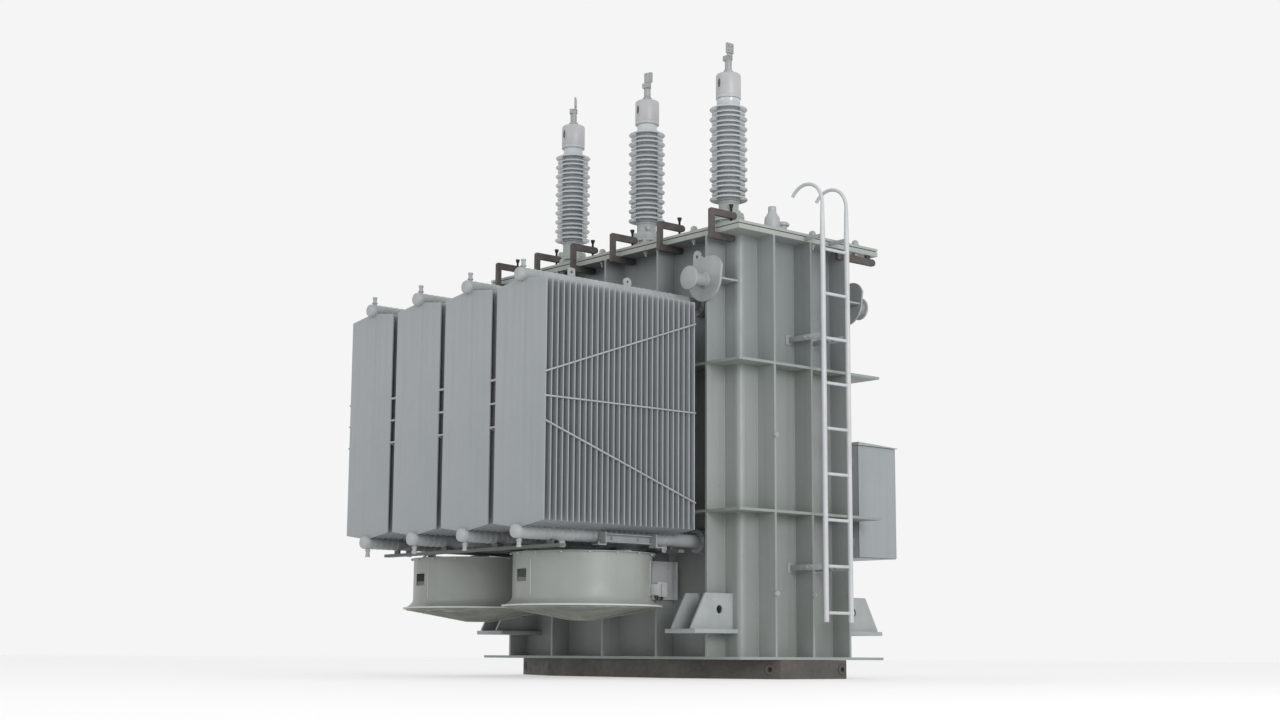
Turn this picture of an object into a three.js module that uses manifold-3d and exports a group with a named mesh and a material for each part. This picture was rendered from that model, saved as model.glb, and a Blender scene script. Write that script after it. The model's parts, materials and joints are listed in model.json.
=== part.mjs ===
// Oil-filled three-phase power transformer with four plate radiators and two cooling fans.
// Millimetres, +Z up. The origin is the centre of the tank base, on the floor.
// -Y is the long side with the radiators and fans, +X is the end with the ladder.
import * as THREE from "three";
import { mergeVertices } from "three/addons/utils/BufferGeometryUtils.js";
import Module from "manifold-3d";

const wasm = await Module();
wasm.setup();

const GAP = 0.3; // clearance between faces that touch

// ---- driving dimensions ----
const TANK = { halfX: 1238, halfY: 530, wall: 8, bend: 44, project: 163, plate: 18 };
const FLANGE = { halfX: TANK.halfX + TANK.project, halfY: TANK.halfY + TANK.project };
const LEVEL = { skidTop: 126, base: 145, lowFlange: 1118, midFlange: 2120, rim: 3028 };
const RIM_THICK = 32;
const STIFFENERS_X = [-1077, -574, 0, 574, 1077]; // on the two long walls
const STIFFENERS_Y = [-358, 0, 358]; // on the two end walls
const GASKET_THICK = 6;
const COVER_THICK = 18;
const COVER_TOP = LEVEL.rim + GASKET_THICK + COVER_THICK + 2 * GAP;
const SKID = { sideX: 665, halfY: 650, halfX: 1395, endY: 320, webX: 600, plate: 20, hole: 40 };

const PHASE_PITCH = 820;
const CORE = { limb: 380, yoke: 380, bottom: 200, window: 1560 };
const WINDING = { bore: 284, outer: 392, height: 1420 };

const RADIATOR = {
  centres: [-870, -290, 290, 870],
  width: 520,
  panels: 28,
  thick: 8,
  innerY: -844,
  outerY: -2110,
  bottom: 972,
  top: 2501,
  peak: 35,
  headerTop: 2556,
  headerBottom: 916,
  headerApothem: 44.5,
  headerEnd: -2150,
};
const VALVE = { radius: 82, length: 40 };

const FAN = {
  centresX: [-580, 580],
  y: -1348,
  inner: 459,
  outer: 465,
  flange: 485,
  flare: 528,
  bottom: 462,
  top: 812,
  tip: 440,
  hub: 90,
  blades: 6,
  pitch: 32,
};
const SPIDER_THICK = 14;

const BUSHING = {
  pitch: 885,
  y: -295,
  bore: 62,
  collar: 71,
  sheds: 10,
  shedRadius: 136,
  core: 78,
  shedPitch: 73.4,
  foot: 3222,
  porcelain: 3330,
  headBottom: 4083,
  headTop: 4276,
  headRadius: 90,
  top: 4502,
};
const LV_BUSHING = { pitch: 500, y: 300, radius: 60, height: 200 };

const LADDER = {
  x: 1572,
  stilesY: [-60, 181],
  radius: 20,
  bottom: 377,
  hookRadius: 155,
  hookTop: 3400,
  hookSweep: 146,
  rungs: 9,
  firstRung: 438,
  rungPitch: 310,
  rungRadius: 11,
  brackets: [745, 2320],
};

const CABINET = { x0: 640, x1: 1180, y0: 700, y1: 1103, z0: 848, z1: 1652, sheet: 4, door: 14 };
const HANDLE_Z = 1260;

const CLAMPS_X = [1190, 661, 149, -305, -740, -1232];
const CLAMP = {
  width: 28,
  arm: 44,
  back: -765,
  post: 36,
  upperEnd: -520,
  lowerEnd: -545,
  bottom: 2952,
  top: 3158,
  screwY: -562,
  screw: 8.5,
  screwTop: 3214,
  head: 17,
};

const TRUNNION = { z: 2678, plateTop: 2840, plateBottom: 2533, tabTop: 2900, thick: 16, halfWidth: 172 };
const PIPE = { radius: 45, reach: 150, disc: 82, discThick: 14 };
const JACKING = { x0: 900, x1: 1210, out: 376, top: 325, thick: 28, gussetTop: 560, hole: 30 };
const RAIL = { bottom: FAN.top + SPIDER_THICK + 2 * GAP, height: 20, width: 50, halfX: 1000, offsetY: 503 };

// ---- shapes ----
// A closed geometry, or a solid already made, as a solid that can be joined and cut.
function solid(shape) {
  if (!shape.isBufferGeometry) return shape;
  const bare = shape.clone();
  bare.deleteAttribute("normal");
  bare.deleteAttribute("uv");
  const merged = mergeVertices(bare, 1e-3);
  const corners = [];
  for (let i = 0; i < merged.index.count; i += 3) {
    const [a, b, c] = merged.index.array.subarray(i, i + 3);
    if (a !== b && b !== c && c !== a) corners.push(a, b, c);
  }
  const build = (triangles) =>
    new wasm.Manifold(
      new wasm.Mesh({
        numProp: 3,
        vertProperties: merged.attributes.position.array,
        triVerts: new Uint32Array(triangles),
      }),
    );
  const made = build(corners);
  return made.volume() < 0 ? build(corners.reverse()) : made;
}

const join = (...shapes) => shapes.map(solid).reduce((all, next) => all.add(next));
const cut = (shape, ...tools) => tools.map(solid).reduce((left, tool) => left.subtract(tool), solid(shape));

// A solid as a geometry with flat faces.
function geometryOf(shape) {
  const mesh = solid(shape).getMesh();
  const geometry = new THREE.BufferGeometry();
  geometry.setAttribute("position", new THREE.BufferAttribute(new Float32Array(mesh.vertProperties), 3));
  geometry.setIndex(new THREE.BufferAttribute(new Uint32Array(mesh.triVerts), 1));
  return geometry;
}

function box(x0, x1, y0, y1, z0, z1) {
  const geometry = new THREE.BoxGeometry(x1 - x0, y1 - y0, z1 - z0);
  return geometry.translate((x0 + x1) / 2, (y0 + y1) / 2, (z0 + z1) / 2);
}

// A flat-sided rod from z0 to z1 around the Z axis.
function rod(radius, z0, z1, sides, topRadius = radius) {
  const geometry = new THREE.CylinderGeometry(topRadius, radius, z1 - z0, sides, 1);
  return geometry.rotateX(Math.PI / 2).translate(0, 0, (z0 + z1) / 2);
}

// A flat-sided rod from y0 to y1 along Y, at x and z.
const rodY = (radius, y0, y1, sides, x, z, turn = 0) =>
  rod(radius, -y1, -y0, sides).rotateZ(turn).rotateX(Math.PI / 2).translate(x, 0, z);

// A closed ring or body of revolution around Z from [radius, z] pairs.
function turned(profile, sides) {
  const points = profile.map(([r, z]) => new THREE.Vector2(r, z));
  return new THREE.LatheGeometry(points, sides).rotateX(Math.PI / 2);
}

function outline(points) {
  return new THREE.Shape(points.map(([x, y]) => new THREE.Vector2(x, y)));
}

// An outline in the XY plane, raised from z0 to z1.
function raised(shape, z0, z1, curveSegments = 4) {
  const geometry = new THREE.ExtrudeGeometry(shape, { depth: z1 - z0, bevelEnabled: false, curveSegments });
  return geometry.translate(0, 0, z0);
}

// An outline drawn in (Y, Z), spread from x0 to x1.
const raisedX = (shape, x0, x1, curveSegments) =>
  raised(shape, x0, x1, curveSegments).rotateY(Math.PI / 2).rotateX(Math.PI / 2);

// An outline drawn in (X, Z), spread from y0 to y1.
const raisedY = (shape, y0, y1, curveSegments) =>
  raised(shape, -y1, -y0, curveSegments).rotateX(Math.PI / 2);

function roundedRectangle(halfX, halfY, radius) {
  const shape = new THREE.Shape();
  shape.moveTo(-halfX + radius, -halfY);
  shape.absarc(halfX - radius, -halfY + radius, radius, -Math.PI / 2, 0);
  shape.absarc(halfX - radius, halfY - radius, radius, 0, Math.PI / 2);
  shape.absarc(-halfX + radius, halfY - radius, radius, Math.PI / 2, Math.PI);
  shape.absarc(-halfX + radius, -halfY + radius, radius, Math.PI, (3 * Math.PI) / 2);
  return shape;
}

// ---- assembly ----
const transformer = new THREE.Group();
transformer.name = "power_transformer";

const paint = (color, roughness = 0.45, metalness = 0.1) => ({ color, roughness, metalness });
const TANK_PAINT = paint(0x8f9a98);
const RADIATOR_PAINT = paint(0x9ba0a3);
const SKID_PAINT = paint(0x46433f, 0.7);
const CLAMP_STEEL = paint(0x5f5956, 0.6, 0.5);
const BLACK_STEEL = paint(0x1c1c1c, 0.5, 0.6);
const BARE_METAL = paint(0xb4b4b2, 0.35, 0.9);
const PORCELAIN = paint(0xbec6cb, 0.2, 0);
const RUBBER = paint(0x1f2121, 0.8, 0);
const COPPER = paint(0xb06a3c, 0.4, 0.9);
const SILICON_STEEL = paint(0x6d7175, 0.5, 0.7);

// Adds one piece as its own mesh; at is where its own origin stands.
function piece(name, shape, material, at = [0, 0, 0], turn = 0) {
  const mesh = new THREE.Mesh(geometryOf(shape), new THREE.MeshStandardMaterial(material));
  mesh.name = name;
  mesh.position.set(...at);
  mesh.rotation.z = turn;
  transformer.add(mesh);
}

// ---- skid ----
// The long octagon of the skid, drawn in by an inset.
function skidOutline(inset) {
  const run = SKID.halfX - SKID.sideX;
  const fall = SKID.halfY - SKID.endY;
  const length = Math.hypot(run, fall);
  const reach = (fall * SKID.sideX + run * SKID.halfY) / length - inset;
  const halfX = SKID.halfX - inset;
  const halfY = SKID.halfY - inset;
  const sideX = (reach * length - run * halfY) / fall;
  const endY = (reach * length - fall * halfX) / run;
  return outline([
    [sideX, -halfY],
    [halfX, -endY],
    [halfX, endY],
    [sideX, halfY],
    [-sideX, halfY],
    [-halfX, endY],
    [-halfX, -endY],
    [-sideX, -halfY],
  ]);
}

function skid() {
  const ring = cut(raised(skidOutline(0), 0, LEVEL.skidTop), raised(skidOutline(SKID.plate), -1, LEVEL.skidTop + 1));
  const webs = [-SKID.webX, 0, SKID.webX].map((x) =>
    box(x - SKID.plate / 2, x + SKID.plate / 2, -SKID.halfY + 7, SKID.halfY - 7, 0, LEVEL.skidTop),
  );
  const chamferTurn = Math.atan2(SKID.halfY - SKID.endY, SKID.halfX - SKID.sideX);
  const towing = [];
  for (const sx of [-1, 1]) {
    for (const sy of [-1, 1]) {
      const at = [sx * (SKID.halfX - 66), sy * (SKID.endY + 29.8)];
      const hole = rodY(SKID.hole / 2, -40, 40, 6, 0, LEVEL.skidTop / 2);
      towing.push(hole.rotateZ(-sx * sy * chamferTurn).translate(at[0], at[1], 0));
    }
    const endHole = rodY(SKID.hole / 2, -40, 40, 6, 0, LEVEL.skidTop / 2);
    towing.push(endHole.rotateZ(Math.PI / 2).translate(sx * SKID.halfX, sx * (SKID.endY - 44), 0));
  }
  return cut(join(ring, ...webs), ...towing);
}
piece("base_skid", skid(), SKID_PAINT);

// ---- tank ----
function tank() {
  const floor = LEVEL.base - TANK.plate;
  const walls = raised(roundedRectangle(TANK.halfX, TANK.halfY, TANK.bend), floor, LEVEL.rim, 2);
  const plates = [
    [floor, LEVEL.base],
    [LEVEL.lowFlange - TANK.plate, LEVEL.lowFlange],
    [LEVEL.midFlange - TANK.plate, LEVEL.midFlange],
    [LEVEL.rim - RIM_THICK, LEVEL.rim],
  ].map(([z0, z1]) => box(-FLANGE.halfX, FLANGE.halfX, -FLANGE.halfY, FLANGE.halfY, z0, z1));
  const half = TANK.plate / 2;
  const sideStiffeners = STIFFENERS_X.map((x) =>
    box(x - half, x + half, -FLANGE.halfY, FLANGE.halfY, LEVEL.base - 1, LEVEL.rim - 1),
  );
  const endStiffeners = STIFFENERS_Y.map((y) =>
    box(-FLANGE.halfX, FLANGE.halfX, y - half, y + half, LEVEL.base - 1, LEVEL.rim - 1),
  );
  const pads = RADIATOR.centres.flatMap((x) =>
    [RADIATOR.headerTop, RADIATOR.headerBottom].map((z) =>
      rodY(VALVE.radius, -TANK.halfY - VALVE.length, -TANK.halfY + 5, 8, x, z, Math.PI / 8),
    ),
  );
  const inside = roundedRectangle(TANK.halfX - TANK.wall, TANK.halfY - TANK.wall, TANK.bend - TANK.wall);
  const body = join(walls, ...plates, ...sideStiffeners, ...endStiffeners, ...pads);
  return cut(body, raised(inside, LEVEL.base, LEVEL.rim + 1, 2));
}
piece("tank_shell", tank(), TANK_PAINT);

const bushingX = [-1, 0, 1].map((i) => i * BUSHING.pitch);
const lvX = [-1, 0, 1].map((i) => i * LV_BUSHING.pitch);

function gasket() {
  const z0 = LEVEL.rim + GAP;
  const ring = box(-FLANGE.halfX + 8, FLANGE.halfX - 8, -FLANGE.halfY + 8, FLANGE.halfY - 8, z0, z0 + GASKET_THICK);
  const inner = box(-TANK.halfX, TANK.halfX, -TANK.halfY, TANK.halfY, z0 - 1, z0 + GASKET_THICK + 1);
  return cut(ring, inner);
}
piece("cover_gasket", gasket(), RUBBER);

function cover() {
  const z0 = COVER_TOP - COVER_THICK;
  const plate = box(-FLANGE.halfX, FLANGE.halfX, -FLANGE.halfY, FLANGE.halfY, z0, COVER_TOP);
  const hvHoles = bushingX.map((x) => rod(BUSHING.bore, z0 - 1, COVER_TOP + 1, 12).translate(x, BUSHING.y, 0));
  const lvHoles = lvX.map((x) => rod(LV_BUSHING.radius / 2, z0 - 1, COVER_TOP + 1, 8).translate(x, LV_BUSHING.y, 0));
  return cut(plate, ...hvHoles, ...lvHoles);
}
piece("tank_cover", cover(), TANK_PAINT);

// ---- active part inside the tank ----
function core() {
  const half = CORE.limb / 2;
  const reach = PHASE_PITCH + half;
  const top = CORE.bottom + 2 * CORE.yoke + CORE.window;
  const blank = box(-reach, reach, -half, half, CORE.bottom, top);
  const windows = [-1, 1].map((side) => {
    const x = (side * PHASE_PITCH) / 2;
    const wide = PHASE_PITCH / 2 - half;
    return box(x - wide, x + wide, -half - 1, half + 1, CORE.bottom + CORE.yoke, top - CORE.yoke);
  });
  const beams = [CORE.bottom + 90, top - 270].flatMap((z) =>
    [-1, 1].map((side) => {
      const y = side * (half + 24);
      return box(-reach, reach, Math.min(y, side * (half - 5)), Math.max(y, side * (half - 5)), z, z + 180);
    }),
  );
  const feet = [-PHASE_PITCH, PHASE_PITCH].map((x) =>
    box(x - 120, x + 120, -half - 24, half + 24, LEVEL.base + GAP, CORE.bottom + 95),
  );
  return join(cut(blank, ...windows), ...beams, ...feet);
}
piece("core", core(), SILICON_STEEL);

const windingBottom = CORE.bottom + CORE.yoke + (CORE.window - WINDING.height) / 2;
const windingProfile = [
  [WINDING.bore, 0],
  [WINDING.outer, 0],
  [WINDING.outer, WINDING.height],
  [WINDING.bore, WINDING.height],
  [WINDING.bore, 0],
];
["a", "b", "c"].forEach((phase, i) => {
  piece("winding_" + phase, turned(windingProfile, 12), COPPER, [(i - 1) * PHASE_PITCH, 0, windingBottom]);
});

// ---- jacking brackets and lifting trunnions, one of each near every corner ----
// Each is built for the corner at +X, +Y and mirrored by the signs of its corner.
const CORNERS = [
  [1, -1],
  [-1, -1],
  [-1, 1],
  [1, 1],
];

function mirrored(shape, sx, sy) {
  const geometry = geometryOf(shape).scale(sx, sy, 1);
  if (sx * sy < 0) geometry.index.array.reverse();
  return geometry;
}

function jackingBracket() {
  const wall = TANK.halfY + GAP;
  const under = JACKING.top - JACKING.thick;
  const plate = box(JACKING.x0, JACKING.x1, wall, TANK.halfY + JACKING.out, under, JACKING.top);
  const side = outline([
    [wall, JACKING.top - 1],
    [TANK.halfY + JACKING.out - 5, JACKING.top - 1],
    [TANK.halfY + 245, JACKING.gussetTop],
    [wall, JACKING.gussetTop],
  ]);
  const gussets = [960, 1145].map((x) => raisedX(side, x, x + TANK.plate));
  const holes = rod(JACKING.hole, -JACKING.x1, -JACKING.x0, 8).rotateY(-Math.PI / 2);
  holes.translate(0, TANK.halfY + 120, JACKING.top + 130);
  const slot = TANK.plate / 2 + GAP;
  const stiffener = box(1077 - slot, 1077 + slot, wall - 1, FLANGE.halfY + GAP, 0, 1000);
  return cut(join(plate, ...gussets), holes, stiffener);
}

function trunnion() {
  const face = FLANGE.halfY + GAP;
  const x = 1077;
  const shape = new THREE.Shape();
  shape.moveTo(x - TRUNNION.halfWidth, TRUNNION.plateTop);
  shape.lineTo(x - TRUNNION.halfWidth, TRUNNION.z);
  shape.absarc(x, TRUNNION.z + 20, TRUNNION.halfWidth, Math.PI * 1.12, Math.PI * 1.88);
  shape.lineTo(x + TRUNNION.halfWidth, TRUNNION.plateTop);
  shape.lineTo(x, TRUNNION.plateTop);
  shape.lineTo(x - 40, TRUNNION.tabTop);
  shape.lineTo(x - 110, TRUNNION.tabTop);
  const plate = raisedY(shape, face, face + TRUNNION.thick, 4);
  const pipe = rodY(PIPE.radius, face, face + PIPE.reach, 10, x, TRUNNION.z);
  const discEnd = face + PIPE.reach;
  const disc = rodY(PIPE.disc, discEnd - 1, discEnd + PIPE.discThick, 12, x, TRUNNION.z);
  const eye = rodY(16, face - 1, face + TRUNNION.thick + 1, 8, x - 72, TRUNNION.tabTop - 45);
  const rib = box(x + TANK.plate, TANK.halfX - 20, TANK.halfY + GAP, face + 5, TRUNNION.z - 8, TRUNNION.z + 8);
  return cut(join(plate, pipe, disc, rib), eye);
}

CORNERS.forEach(([sx, sy], i) => {
  piece("jacking_bracket_" + (i + 1), mirrored(jackingBracket(), sx, sy), TANK_PAINT);
  piece("lifting_trunnion_" + (i + 1), mirrored(trunnion(), sx, sy), TANK_PAINT);
});

// ---- radiators ----
function radiator() {
  const half = RADIATOR.width / 2;
  const panel = outline([
    [-half, RADIATOR.bottom],
    [0, RADIATOR.bottom - RADIATOR.peak],
    [half, RADIATOR.bottom],
    [half, RADIATOR.top],
    [0, RADIATOR.top + RADIATOR.peak],
    [-half, RADIATOR.top],
  ]);
  const pitch = (RADIATOR.innerY - RADIATOR.outerY - RADIATOR.thick) / (RADIATOR.panels - 1);
  const panels = Array.from({ length: RADIATOR.panels }, (_, i) => {
    const y = RADIATOR.innerY - i * pitch;
    return raisedY(panel, y - RADIATOR.thick, y);
  });
  const radius = RADIATOR.headerApothem / Math.cos(Math.PI / 8);
  const inner = -TANK.halfY - VALVE.length - GAP;
  const headers = [RADIATOR.headerTop, RADIATOR.headerBottom].flatMap((z) => [
    rodY(radius, RADIATOR.headerEnd, inner, 8, 0, z, Math.PI / 8),
    rodY(VALVE.radius, inner - 22, inner, 8, 0, z, Math.PI / 8),
  ]);
  const depth = RADIATOR.innerY - RADIATOR.outerY;
  const eyes = [0.3, 0.68].map((part) => {
    const y = RADIATOR.innerY - part * depth;
    return box(-6, 6, y - 32, y + 32, RADIATOR.headerTop + 35, RADIATOR.headerTop + 95);
  });
  return join(...headers, ...eyes, ...panels);
}
RADIATOR.centres.forEach((x, i) => {
  piece("radiator_" + (i + 1), radiator(), RADIATOR_PAINT, [x, 0, 0]);
});

// ---- fans ----
function shroud() {
  const ring = turned(
    [
      [FAN.inner, FAN.top],
      [FAN.inner, FAN.bottom + 58],
      [FAN.flare, FAN.bottom],
      [FAN.flare, FAN.bottom + 7],
      [FAN.outer, FAN.bottom + 63],
      [FAN.outer, FAN.top - 7],
      [FAN.flange, FAN.top - 7],
      [FAN.flange, FAN.top],
      [FAN.inner, FAN.top],
    ],
    24,
  );
  const window = box(-102, -37, -FAN.flare, -FAN.inner + 60, 622, 704);
  return cut(ring, window);
}

function guard() {
  const wire = 7;
  const rings = [
    [508, FAN.bottom - GAP - wire],
    [300, 411],
    [92, 376],
  ].map(([r, z]) =>
    turned(
      [
        [r - wire, z],
        [r + wire, z],
        [r + wire, z + wire],
        [r - wire, z + wire],
        [r - wire, z],
      ],
      12,
    ),
  );
  const fall = Math.atan2(FAN.bottom - GAP - wire - 376, 508 - 92);
  const length = 420;
  const bars = Array.from({ length: 6 }, (_, i) => {
    const bar = new THREE.BoxGeometry(length, wire, wire - 1);
    bar.rotateY(-fall).translate(300, 0, 411 + wire / 2 + 4);
    return bar.rotateZ(((i + 0.25) * Math.PI) / 3);
  });
  return join(...rings, ...bars);
}

function rotor() {
  const middle = 620;
  const hub = rod(FAN.hub, middle - 50, middle + 50, 12, FAN.hub - 8);
  const span = FAN.tip - FAN.hub + 20;
  const blades = Array.from({ length: FAN.blades }, (_, i) => {
    const blade = new THREE.BoxGeometry(span, 150, 7);
    blade.rotateX(THREE.MathUtils.degToRad(FAN.pitch)).translate(FAN.tip - span / 2, 0, middle);
    return blade.rotateZ((i * 2 * Math.PI) / FAN.blades);
  });
  const shaft = rod(14, middle, 690 - GAP, 8);
  return join(hub, shaft, ...blades);
}

function motor() {
  const body = rod(105, 690, 846, 16);
  const armTop = FAN.top + GAP + SPIDER_THICK;
  const arm = (turn) =>
    new THREE.BoxGeometry(2 * (FAN.flange - 6), 40, SPIDER_THICK).rotateZ(turn).translate(0, 0, armTop - SPIDER_THICK / 2);
  return join(body, arm(0), arm(Math.PI / 2));
}

FAN.centresX.forEach((x, i) => {
  const at = [x, FAN.y, 0];
  piece("fan_shroud_" + (i + 1), shroud(), RADIATOR_PAINT, at);
  piece("fan_guard_" + (i + 1), guard(), BARE_METAL, at);
  piece("fan_rotor_" + (i + 1), rotor(), RADIATOR_PAINT, at);
  piece("fan_motor_" + (i + 1), motor(), RADIATOR_PAINT, at);
});

function fanFrame() {
  const top = RAIL.bottom + RAIL.height;
  const half = RAIL.width / 2;
  const railY = [FAN.y - RAIL.offsetY, FAN.y + RAIL.offsetY];
  const rails = railY.map((y) => box(-RAIL.halfX, RAIL.halfX, y - half, y + half, RAIL.bottom, top));
  const crossBars = [-290, 290].map((x) => box(x - half, x + half, railY[0], railY[1], RAIL.bottom, top));
  const hangerTop = RADIATOR.headerBottom - RADIATOR.headerApothem - GAP;
  const hangers = RADIATOR.centres.flatMap((x) => railY.map((y) => box(x - 30, x + 30, y - 6, y + 6, top - 1, hangerTop)));
  const lap = 574 + TANK.plate / 2 + GAP;
  const plates = [-1, 1].flatMap((side) => {
    const [x0, x1] = side > 0 ? [lap, lap + 8] : [-lap - 8, -lap];
    const shroudSide = FAN.y + FAN.outer + 1;
    return [
      box(x0, x1, shroudSide, -TANK.halfY - 30, 525, 790),
      box(x0, x1, railY[1] + 2, -TANK.halfY - 60, 785, top),
    ];
  });
  return join(...rails, ...crossBars, ...hangers, ...plates);
}
piece("fan_support_frame", fanFrame(), TANK_PAINT);

// ---- high-voltage bushings ----
function turret() {
  return turned(
    [
      [BUSHING.bore, COVER_TOP + GAP],
      [115, COVER_TOP + GAP],
      [115, COVER_TOP + 20],
      [88, COVER_TOP + 20],
      [88, BUSHING.foot - 40],
      [112, BUSHING.foot - 40],
      [112, BUSHING.foot],
      [BUSHING.bore, BUSHING.foot],
      [BUSHING.bore, COVER_TOP + GAP],
    ],
    12,
  );
}

function insulator() {
  const foot = BUSHING.foot + GAP;
  const profile = [
    [0, foot],
    [108, foot],
    [108, foot + 18],
    [BUSHING.collar, foot + 18],
    [BUSHING.collar, BUSHING.porcelain],
  ];
  for (let i = 0; i < BUSHING.sheds; i++) {
    const z = BUSHING.porcelain + i * BUSHING.shedPitch;
    profile.push([BUSHING.shedRadius, z + 20]);
    profile.push([BUSHING.core, z + 48]);
  }
  profile.push([BUSHING.core, BUSHING.headBottom - GAP]);
  profile.push([0, BUSHING.headBottom - GAP]);
  return turned(profile, 12);
}

function head() {
  return turned(
    [
      [0, BUSHING.headBottom],
      [BUSHING.headRadius, BUSHING.headBottom],
      [BUSHING.headRadius, BUSHING.headTop - 12],
      [BUSHING.headRadius - 14, BUSHING.headTop],
      [0, BUSHING.headTop],
    ],
    16,
  );
}

function terminal() {
  const foot = BUSHING.headTop + GAP;
  const stud = rod(25, foot, foot + 130, 12);
  const palm = box(8, 22, -34, 34, foot + 95, BUSHING.top);
  const nut = rod(36, foot, foot + 26, 6);
  return join(stud, palm, nut);
}

const PALM_TURNS = [0.5, 1.2, 0]; // quarter turns of each palm about its stud
bushingX.forEach((x, i) => {
  const at = [x, BUSHING.y, 0];
  piece("bushing_turret_" + (i + 1), turret(), TANK_PAINT, at);
  piece("bushing_insulator_" + (i + 1), insulator(), PORCELAIN, at);
  piece("bushing_head_" + (i + 1), head(), paint(0xc8c8cb, 0.3, 0.4), at);
  piece("bushing_terminal_" + (i + 1), terminal(), BARE_METAL, at, (PALM_TURNS[i] * Math.PI) / 2);
});

function lvBushing() {
  const z = COVER_TOP + GAP;
  const r = LV_BUSHING.radius;
  return turned(
    [
      [0, z],
      [r * 1.3, z],
      [r * 1.3, z + 16],
      [r * 0.7, z + 22],
      [r, z + 60],
      [r * 0.6, z + 78],
      [r * 0.95, z + 112],
      [r * 0.5, z + 130],
      [r * 0.3, z + 132],
      [r * 0.3, z + LV_BUSHING.height],
      [0, z + LV_BUSHING.height],
    ],
    10,
  );
}
lvX.forEach((x, i) => {
  piece("lv_bushing_" + (i + 1), lvBushing(), PORCELAIN, [x, LV_BUSHING.y, 0]);
});

// ---- ladder ----
// One side rail: a straight tube that curls over at the top towards the tank.
function stile(y) {
  const centreZ = LADDER.hookTop - LADDER.hookRadius;
  const sweep = THREE.MathUtils.degToRad(LADDER.hookSweep);
  const steps = 7;
  const path = new THREE.CurvePath();
  const onHook = (angle) =>
    new THREE.Vector3(
      LADDER.x - LADDER.hookRadius + LADDER.hookRadius * Math.cos(angle),
      y,
      centreZ + LADDER.hookRadius * Math.sin(angle),
    );
  path.add(new THREE.LineCurve3(new THREE.Vector3(LADDER.x, y, LADDER.bottom), onHook(0)));
  const section = new THREE.Shape().absarc(0, 0, LADDER.radius, 0, 2 * Math.PI);
  const hookPoints = Array.from({ length: steps + 1 }, (_, i) => onHook((i * sweep) / steps));
  const hook = new THREE.CatmullRomCurve3(hookPoints);
  const tube = new THREE.ExtrudeGeometry(section, { steps: 7, curveSegments: 4, extrudePath: hook });
  const post = rod(LADDER.radius, LADDER.bottom, centreZ + 4, 8).translate(LADDER.x, y, 0);
  return join(post, tube);
}

function ladder() {
  const [near, far] = LADDER.stilesY;
  const rungs = Array.from({ length: LADDER.rungs }, (_, i) =>
    rodY(LADDER.rungRadius, near, far, 6, LADDER.x, LADDER.firstRung + i * LADDER.rungPitch),
  );
  const brackets = LADDER.stilesY.flatMap((y) => [
    ...LADDER.brackets.map((z) => box(TANK.halfX + GAP, LADDER.x, y - 4, y + 4, z - 20, z + 20)),
    box(FLANGE.halfX + GAP, LADDER.x, y - 4, y + 4, LEVEL.rim - RIM_THICK, LEVEL.rim - 2),
  ]);
  return join(...LADDER.stilesY.map(stile), ...rungs, ...brackets);
}
piece("ladder", ladder(), RADIATOR_PAINT);

// ---- control cabinet ----
function cabinetBody() {
  const { x0, x1, y0, y1, z0, z1, sheet, door } = CABINET;
  const front = y1 - door - GAP;
  const shell = cut(
    box(x0, x1, y0, front, z0, z1),
    box(x0 + sheet, x1 - sheet, y0 + sheet, front + 1, z0 + sheet, z1 - sheet),
  );
  const slope = outline([
    [y0 - 2, z1 - 1],
    [y1 + 14, z1 - 1],
    [y1 + 14, z1 + 6],
    [y0 - 2, z1 + 24],
  ]);
  const roof = raisedX(slope, x0 - 12, x1 + 12);
  const feet = [960, 1530].map((z) => box(1020, 1134, FLANGE.halfY + GAP, y0 + 1, z - 30, z + 30));
  const boardZ = z0 + 120;
  const board = box(x0 + 60, x1 - 60, y0 + sheet - 1, y0 + sheet + 40, boardZ, z1 - 120);
  return join(shell, roof, ...feet, board);
}
piece("cabinet_body", cabinetBody(), RADIATOR_PAINT);

const doorLeft = CABINET.x0 + 3;
const doorFront = CABINET.y1;
const handleX = CABINET.x1 - 60;
function cabinetDoor() {
  const { x1, z0, z1, door } = CABINET;
  const panel = box(doorLeft, x1 - 3, doorFront - door, doorFront, z0 + 3, z1 - 5);
  const hole = rodY(9, doorFront - door - 1, doorFront + 1, 8, handleX, HANDLE_Z);
  return cut(panel, hole);
}
piece("cabinet_door", cabinetDoor(), RADIATOR_PAINT);

function doorHandle() {
  const spindle = rodY(8, doorFront - 30, doorFront + 26, 8, handleX, HANDLE_Z);
  const grip = box(handleX - 12, handleX + 12, doorFront + 14, doorFront + 30, HANDLE_Z - 95, HANDLE_Z + 20);
  const boss = rodY(20, doorFront + GAP, doorFront + 18, 8, handleX, HANDLE_Z);
  return join(spindle, grip, boss);
}
piece("door_handle", doorHandle(), BLACK_STEEL);

// ---- screw clamps on the rim ----
function clampFrame() {
  const { back, post, upperEnd, lowerEnd, bottom, top, arm, width } = CLAMP;
  const lowerTop = LEVEL.rim - RIM_THICK - GAP;
  const side = new THREE.Shape();
  side.moveTo(back, bottom);
  side.lineTo(lowerEnd, bottom);
  side.lineTo(lowerEnd, lowerTop);
  side.lineTo(back + post, lowerTop);
  side.lineTo(back + post, top - arm);
  side.lineTo(upperEnd - arm / 2, top - arm);
  side.absarc(upperEnd - arm / 2, top - arm / 2, arm / 2, -Math.PI / 2, Math.PI / 2);
  side.lineTo(back, top);
  const frame = raisedX(side, -width / 2, width / 2, 3);
  const thread = rod(CLAMP.screw + 1, top - arm - 1, top + 1, 8).translate(0, CLAMP.screwY, 0);
  return cut(frame, thread);
}

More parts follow.
